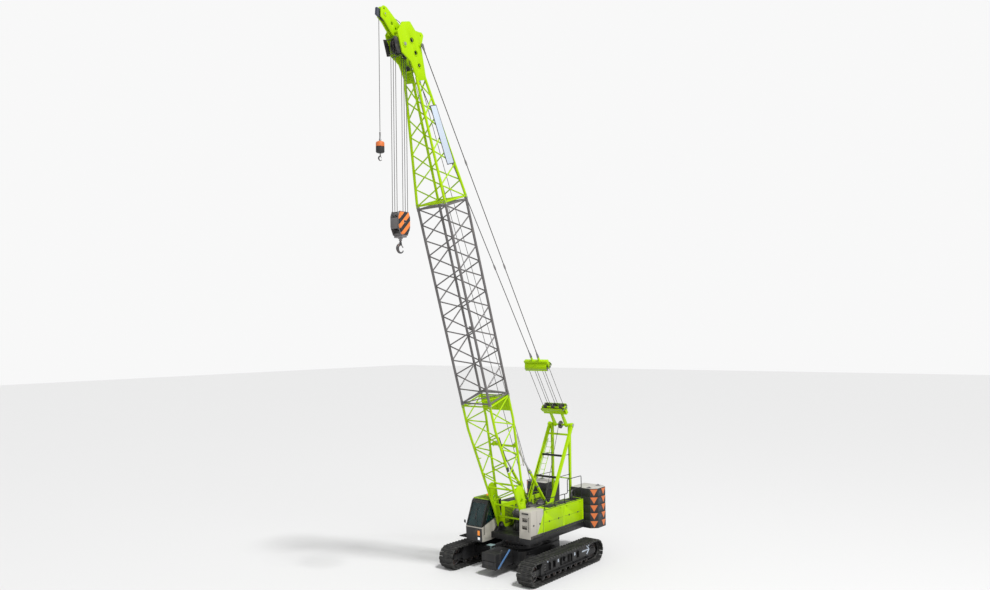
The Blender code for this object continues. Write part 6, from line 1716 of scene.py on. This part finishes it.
def cab():
    waist = Vector((1.93, 0, 1.95))
    lift = Vector((0.285, 0, 0.958))
    upper = dressed("cab_shell", 0.012, 2)
    lower = copied(upper, Matrix.Identity(4))
    piece("cab_lower_body", sliced(lower, waist, lift, False), "upperworks", GREY, ("cab_shell",))
    piece("cab_upper_frame", sliced(upper, waist, lift, True), "upperworks", BLACK)
    for node, body in (("cab_windshield", "upperworks"), ("cab_side_window", "upperworks"),
                       ("cab_door_window", "cab_door")):
        item = dressed(node, 0)
        piece(node + "_pane", item, body, GLASS, (node,))
    low, high = Vector((1.93, 0, 1.93)), Vector((1.46, 0, 3.04))
    up = (high - low).normalized()
    out = Vector((up.z, 0, -up.x))
    trim = []
    for y in (CAB_INNER - 0.055, CAB_OUTER + 0.055):
        a = low + up * 0.04 + out * 0.004
        b = high - up * 0.06 + out * 0.004
        trim.append(bar(a + Vector((0, y, 0)), b + Vector((0, y, 0)), 0.05, 0.014, 0.004))
    for share in (0.03, 0.955):
        spot = low.lerp(high, share) + out * 0.004
        trim.append(box(spot.x - 0.02, spot.x + 0.012, CAB_OUTER + 0.03, CAB_INNER - 0.03, spot.z - 0.016, spot.z + 0.016, 0.005))
    trim.append(gasket(INNER_GLASS, CAB_INNER - 0.012, CAB_INNER + 0.006))
    apron = [(1.888, 1.275), (1.9025, 1.275), (1.9325, 1.90), (1.918, 1.90)]
    trim.append(sheet_metal([apron], CAB_OUTER + 0.001, CAB_INNER - 0.001, edge=0.003))
    piece("cab_black_trim", trim, "upperworks", PLASTIC)
    for tag, y, z0, z1, material in (("amber", CAB_INNER - 0.19, 1.57, 1.79, AMBER), ("clear", CAB_INNER - 0.19, 1.36, 1.48, CLEAR)):
        face = 1.90 + 0.03 * ((z0 + z1) / 2 - 1.28) / 0.65
        piece("cab_lamp_" + tag, box(face, face + 0.022, y - 0.065, y + 0.065, z0, z1, 0.012, 3), "upperworks", material)
        trim_lamp = sheet_metal([[(y - 0.085, z0 - 0.02), (y + 0.085, z0 - 0.02), (y + 0.085, z1 + 0.02), (y - 0.085, z1 + 0.02)],
                                 [(y - 0.064, z0 + 0.001), (y + 0.064, z0 + 0.001), (y + 0.064, z1 - 0.001), (y - 0.064, z1 - 0.001)]],
                                face, face + 0.014, "X", 0.003)
        piece("cab_lamp_bezel_" + tag, trim_lamp, "upperworks", PLASTIC)
    arm = low.lerp(high, 0.06) + out * 0.02
    sweep = [rod(arm + Vector((0, -1.20, 0)), arm + up * 0.62 + Vector((0, -1.42, 0)), 0.008, 12),
             rod(arm + up * 0.30 + Vector((0, -1.40, 0)), arm + up * 0.82 + Vector((0, -1.43, 0)), 0.012, 12),
             rod(arm + Vector((0, -1.20, 0)) - out * 0.02, arm + Vector((0, -1.20, 0)) + out * 0.012, 0.022, 16)]
    piece("cab_wiper", sweep, "upperworks", PLASTIC)
    mirror = [tube([(1.88, CAB_OUTER, 2.02), (1.93, CAB_OUTER - 0.04, 2.06), (1.93, CAB_OUTER - 0.06, 2.12)], 0.009, 0.04, 3),
              box(1.918, 1.942, CAB_OUTER - 0.11, CAB_OUTER - 0.02, 2.06, 2.20, 0.012, 3)]
    piece("cab_mirror_body", mirror, "upperworks", PLASTIC)
    piece("cab_mirror_glass", [box(1.9115, 1.918, CAB_OUTER - 0.103, CAB_OUTER - 0.027, 2.07, 2.19, 0.002)], "upperworks", BRIGHT)
    rails = [tube([(1.80, CAB_INNER, 1.60), (1.80, CAB_INNER + 0.05, 1.62), (1.80, CAB_INNER + 0.05, 2.05),
                   (1.80, CAB_INNER, 2.07)], 0.011, 0.03, 3)]
    roof = [box(0.50, 1.30, CAB_OUTER + 0.10, CAB_INNER - 0.10, 3.115, 3.12 + 0.010, 0.008)]
    for k in range(7):
        roof.append(box(0.58 + 0.09 * k, 0.62 + 0.09 * k, CAB_OUTER + 0.16, CAB_INNER - 0.16, 3.128, 3.138, 0.003))
    piece("cab_roof_vent", roof, "upperworks", DARK)
    piece("cab_grab_rail", rails, "upperworks", DARK)
    gutter = [box(0.60, 1.36, CAB_OUTER - 0.004, CAB_OUTER + 0.012, 3.02, 3.045, 0.004)]
    piece("cab_rain_gutter", gutter, "upperworks", BLACK)
    inner_panel = [(0.46, 1.32), (1.87, 1.32), (1.895, 1.92), (0.90, 2.215), (0.46, 2.215)]
    piece("cab_side_panel", sheet_metal([inner_panel], CAB_INNER - 0.003, CAB_INNER + 0.005, edge=0.003), "upperworks", GREY)
    guard = [bar((1.40, CAB_OUTER + 0.06, 3.165), (1.40, CAB_INNER - 0.06, 3.165), 0.03, 0.03),
             bar((0.50, CAB_OUTER + 0.06, 3.165), (0.50, CAB_INNER - 0.06, 3.165), 0.03, 0.03)]
    for y in (CAB_OUTER + 0.06, CAB_INNER - 0.06):
        guard.append(bar((0.50, y, 3.165), (1.40, y, 3.165), 0.03, 0.03))
        guard += [rod((x, y, 3.11), (x, y, 3.16), 0.012, 10) for x in (0.55, 0.95, 1.35)]
    guard += [rod((0.50 + 0.09 * k, CAB_OUTER + 0.06, 3.165), (0.50 + 0.09 * k, CAB_INNER - 0.06, 3.165), 0.007, 8)
              for k in range(1, 10)]
    piece("cab_roof_guard", guard, "upperworks", GREEN)
    beacon = [rod((0.60, -1.6, 3.12), (0.60, -1.6, 3.15), 0.055, 24, 0.005)]
    piece("cab_beacon_base", beacon, "upperworks", PLASTIC)
    piece("cab_beacon", turned([(0.0005, 3.15), (0.048, 3.15), (0.048, 3.21), (0.038, 3.235), (0.0005, 3.24)], "Z", 28,
                               (0.60, -1.6, 0)), "upperworks", AMBER)
    upper = dressed("cab_door", 0.006)
    lower = copied(upper, Matrix.Identity(4))
    piece("cab_door_panel", sliced(lower, waist, lift, False), "cab_door", GREY, ("cab_door",))
    piece("cab_door_window_frame", sliced(upper, waist, lift, True), "cab_door", BLACK)
    seal = [gasket(DOOR_GLASS, CAB_OUTER - 0.006, CAB_OUTER + 0.014),
            box(1.50, 1.62, CAB_OUTER - 0.022, CAB_OUTER - 0.002, 1.90, 1.94, 0.006),
            box(1.48, 1.64, CAB_OUTER - 0.006, CAB_OUTER + 0.002, 1.87, 1.97, 0.003)]
    piece("cab_door_trim", seal, "cab_door", PLASTIC)
    interior()


def cushion(name, x0, x1, y0, y1, z0, z1, lean, pivot, channels):
    """A crowned pad with sewn channels across it."""
    bpy.ops.mesh.primitive_cube_add(size=1, location=((x0 + x1) / 2, (y0 + y1) / 2, (z0 + z1) / 2),
                                    scale=(x1 - x0, y1 - y0, z1 - z0))
    item = settle()
    bpy.ops.object.mode_set(mode="EDIT")
    bpy.ops.mesh.select_all(action="SELECT")
    bpy.ops.mesh.subdivide(number_cuts=7)
    bpy.ops.object.mode_set(mode="OBJECT")
    centre = Vector(((x0 + x1) / 2, (y0 + y1) / 2, (z0 + z1) / 2))
    half = Vector(((x1 - x0) / 2, (y1 - y0) / 2, (z1 - z0) / 2))
    for vertex in item.data.vertices:
        away = vertex.co - centre
        u, v, w = (away[i] / half[i] for i in range(3))
        thick = min(range(3), key=lambda i: half[i])
        others = [t for i, t in enumerate((u, v, w)) if i != thick]
        crown = (1 - others[0] ** 4 * 0.35) * (1 - others[1] ** 4 * 0.35)
        away[thick] *= crown
        seam = abs(sin(others[1 if thick == 2 else 1] * pi * channels / 2)) ** 0.25
        away[thick] *= 0.90 + 0.10 * seam
        for i in range(3):
            if i != thick:
                away[i] *= 1 - 0.05 * (abs((u, v, w)[thick])) ** 2
        vertex.co = centre + away
    modified(item, "SUBSURF", levels=2, render_levels=2)
    item.data.transform(Matrix.Translation(pivot) @ Matrix.Rotation(radians(lean), 4, "Y")
                        @ Matrix.Translation(-Vector(pivot)))
    made = piece(name, item, "upperworks", VINYL, (), 60)
    return made


def interior():
    y = (CAB_INNER + CAB_OUTER) / 2
    floor = 1.33
    seat = cushion("operator_seat_cushion", 0.72, 1.21, y - 0.235, y + 0.235, floor + 0.385, floor + 0.495, 0,
                   (0.9, y, floor), 5)
    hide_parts("operator_seat")
    cushion("operator_seat_back", 0.645, 0.755, y - 0.225, y + 0.225, floor + 0.50, floor + 1.15, 0, (0.7, y, floor + 0.45), 5)
    base = [box(0.82, 1.13, y - 0.15, y + 0.15, floor + 0.0, floor + 0.30, 0.012),
            box(0.74, 1.18, y - 0.20, y + 0.20, floor + 0.33, floor + 0.38, 0.010)]
    for k in range(5):
        base.append(box(0.80 + 0.003 * k, 1.15 - 0.003 * k, y - 0.17, y + 0.17, floor + 0.295 + 0.008 * k, floor + 0.301 + 0.008 * k, 0.002))
    for side in (-1, 1):
        base.append(box(0.78, 1.16, y + side * 0.27, y + side * 0.40, floor + 0.02, floor + 0.56, 0.02, 3))
        base.append(box(0.74, 1.02, y + side * 0.27, y + side * 0.36, floor + 0.60, floor + 0.64, 0.016, 3))
        spot = Vector((1.10, y + side * 0.33, floor + 0.56))
        base.append(rod(spot, spot + Vector((0.02, 0, 0.15)), 0.011, 14))
        base.append(turned([(0.0005, 0.12), (0.020, 0.125), (0.028, 0.17), (0.022, 0.21), (0.0005, 0.22)], "Z", 20,
                           (spot.x + 0.02, spot.y, spot.z)))
        base.append(turned([(0.05, 0.0), (0.042, 0.015), (0.034, 0.02), (0.026, 0.04), (0.012, 0.05), (0.012, 0.0)], "Z", 20, spot))
    base.append(box(1.62, 1.74, y + 0.16, y + 0.33, floor + 0.60, floor + 0.85, 0.012))
    base.append(tube([(1.70, y + 0.24, floor + 0.04), (1.70, y + 0.24, floor + 0.62)], 0.015, 0, 3))
    for side in (-0.12, 0.12):
        base.append(box(1.48, 1.66, y + side - 0.05, y + side + 0.05, floor + 0.06, floor + 0.075, 0.005))
        base.append(rod((1.57, y + side, floor + 0.0), (1.55, y + side, floor + 0.065), 0.012, 10))
    piece("cab_interior", base, "upperworks", PLASTIC)
    screen = [box(1.612, 1.62, y + 0.175, y + 0.315, floor + 0.63, floor + 0.82, 0.003)]
    piece("cab_display", screen, "upperworks", BLUE_BLACK)
    mat = [chequer_plate(0.50, 1.85, CAB_OUTER + 0.08, CAB_INNER - 0.08, floor + 0.001, 0.09)]
    piece("cab_floor_mat", mat, "upperworks", PLASTIC)


# --- hooks ---------------------------------------------------------------
def hook_shape(x, top, radius, thickness, shank):
    """A forged hook: round shank, bowl thickest at the bottom, tapering point."""
    eye = top - shank - radius
    points, widths = [(x, 0, top), (x, 0, top - shank * 0.35), (x, 0, top - shank * 0.6)], [0.62, 0.62, 0.8]
    steps = 28
    for k in range(steps + 1):
        share = k / steps
        angle = radians(100 - 255 * share)
        points.append((x + radius * cos(angle), 0, eye + radius * sin(angle)))
        widths.append(0.8 + 0.42 * sin(pi * min(1.0, share * 1.3)) - 0.42 * share)
    return tube(points, thickness, resolution=5, widths=widths)


def hooks():
    bottom = joint_place("main_hook_swivel").z
    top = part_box("hook_block")[1].z
    sheave_z = joint_place("block_sheaves_spin").z
    x = HEAD.x
    cheek = [(x - 0.20, bottom + 0.13), (x + 0.20, bottom + 0.13), (x + 0.34, sheave_z - 0.22), (x + 0.345, sheave_z + 0.20),
             (x + 0.26, top - 0.02), (x - 0.26, top - 0.02), (x - 0.345, sheave_z + 0.20), (x - 0.34, sheave_z - 0.22)]
    plates = [sheet_metal([cheek, disc(x, sheave_z, 0.046, 24)], side * 0.197, side * 0.222, edge=0.005) for side in (-1, 1)]
    piece("hook_block_cheeks", plates, "hook_block", BOOM_GREY, ("hook_block",))
    weights = []
    for side in (-1, 1):
        for level, inset in ((0.2225, 0.0), (0.241, 0.03)):
            outline = [(x - 0.18 + inset, bottom + 0.16 + inset), (x + 0.18 - inset, bottom + 0.16 + inset),
                       (x + 0.32 - inset, sheave_z - 0.20), (x + 0.325 - inset, sheave_z + 0.18 - inset),
                       (x + 0.24 - inset, top - 0.05 - inset), (x - 0.24 + inset, top - 0.05 - inset),
                       (x - 0.325 + inset, sheave_z + 0.18 - inset), (x - 0.32 + inset, sheave_z - 0.20)]
            weights.append(sheet_metal([outline], side * level, side * (level + 0.018), edge=0.005))
    piece("hook_block_striped_weights", weights, "hook_block", STRIPES)
    frame_bits = []
    for side in (-1, 1):
        z0, z1 = sheave_z - 0.30, sheave_z + 0.30
        frame_bits.append(box(x + side * 0.338, x + side * 0.352, -0.19, 0.19, z0, z1 - 0.16, 0.004))
        frame_bits.append(rod((x + side * 0.24, -0.197, top - 0.06), (x + side * 0.24, 0.197, top - 0.06), 0.020, 16))
        frame_bits.append(box(x - 0.34, x + 0.34, side * 0.186, side * 0.197, sheave_z - 0.34, sheave_z - 0.30, 0.003))
    frame_bits.append(box(x - 0.19, x + 0.19, -0.197, 0.197, bottom + 0.14, bottom + 0.22, 0.010))
    piece("hook_block_guards", frame_bits, "hook_block", BOOM_GREY)
    swivel = [box(x - 0.13, x + 0.13, -0.24, 0.24, bottom + 0.05, bottom + 0.155, 0.012, 3),
              turned([(0.041, 0.0003), (0.085, 0.0003), (0.095, 0.015), (0.095, 0.05), (0.041, 0.05)], "Z", 32, (x, 0, bottom)),
              rod((x, -0.262, sheave_z), (x, 0.262, sheave_z), 0.044, 24, 0.006)]
    for side in (-1, 1):
        swivel.append(rod((x, side * 0.2585, sheave_z), (x, side * 0.262, sheave_z), 0.07, 6, 0.001))
        swivel.append(bolts([(x + u, side * 0.2585, sheave_z + v) for u in (-0.2, 0.2) for v in (-0.24, 0.22)],
                            (0, side, 0), 0.012, 0.0035))
    piece("hook_block_swivel", swivel, "hook_block", STEEL)
    sheave_row("block_sheave_set", "block_sheaves", "block_sheaves", MAIN_ROPE, 0.048, (-SHEAVE_PITCH, 0, SHEAVE_PITCH),
               0.062, (x, 0, sheave_z))
    hook = hook_shape(x, bottom - SEAT, 0.17, 0.060, 0.22)
    piece("main_hook_forging", hook, "main_hook", SHEAVE_STEEL, ("main_hook",), smooth=60)
    eye = bottom - 0.22 - 0.17
    tongue = [bar((x + 0.03, 0, eye + 0.25), (x - 0.145, 0, eye + 0.045), 0.05, 0.012, 0.003),
              rod((x + 0.03, -0.055, eye + 0.25), (x + 0.03, 0.055, eye + 0.25), 0.012, 14),
              turned([(0.03, -0.052), (0.066, -0.052), (0.066, 0.0), (0.03, 0.0)], "Z", 6, (x, 0, bottom - 0.02))]
    piece("main_hook_latch", tongue, "main_hook", STEEL)
    aux()


def aux():
    x = TIP.x + TIP_ROPE
    low, high = 18.06, 18.50
    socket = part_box("aux_weight")[1].z
    r = 0.17
    upper = turned([(0.0005, 18.30), (r, 18.30), (r, high - 0.05), (r * 0.96, high - 0.02), (r * 0.85, high),
                    (0.05, high + 0.035), (0.0005, high + 0.035)], "Z", 40, (x, 0, 0))
    piece("aux_weight_top", upper, "aux_weight", ORANGE, ("aux_weight",))
    lower = turned([(0.0005, low), (r * 0.6, low), (r * 0.9, low + 0.02), (r, low + 0.05),
                    (r, low + 0.16), (r, 18.297), (0.0005, 18.297)], "Z", 40, (x, 0, 0))
    band = turned([(r - 0.002, 18.28), (r + 0.0, 18.28), (r + 0.0, 18.315), (r - 0.002, 18.315)], "Z", 40, (x, 0, 0))
    piece("aux_weight_bottom", [lower, band], "aux_weight", SLAB_PAINT)
    wedge = [turned([(0.0005, high + 0.03), (0.045, high + 0.03), (0.045, high + 0.10), (0.030, high + 0.13), (0.030, socket - 0.13),
                     (0.034, socket - 0.02), (0.024, socket - 0.001), (0.0005, socket - 0.001)], "Z", 28, (x, 0, 0)),
             rod((x, -0.055, high + 0.085), (x, 0.055, high + 0.085), 0.016, 16, 0.002)]
    wedge.append(bolts([(x + 0.13 * cos(a), 0.13 * sin(a), high - 0.022) for a in (k * pi / 3 for k in range(6))], (0, 0, 1), 0.01, 0.008))
    piece("aux_rope_socket", wedge, "aux_weight", STEEL)
    hook = hook_shape(x, low - SEAT, 0.085, 0.028, 0.13)
    piece("aux_hook_forging", hook, "aux_hook", SHEAVE_STEEL, ("aux_hook",), smooth=60)
    eye = low - 0.13 - 0.085
    tongue = [bar((x + 0.015, 0, eye + 0.125), (x - 0.073, 0, eye + 0.022), 0.026, 0.007, 0.002)]
    piece("aux_hook_latch", tongue, "aux_hook", STEEL)


def machine():
    for side, name in ((1, "left"), (-1, "right")):
        track_frame(side, name)
        track(side, name)
        tumblers(side, name)
    carbody()
    revolving_frame()
    for name, radius in (("main_drum", 0.315), ("aux_drum", 0.305), ("luffing_drum", 0.300)):
        wound_drum(name, 0, radius)
    housings()
    front_cover()
    engine()
    handrails()
    walkway()
    counterweight()
    gantry()
    cab()
    hooks()


camera_and_light()
machine()
boom_all()
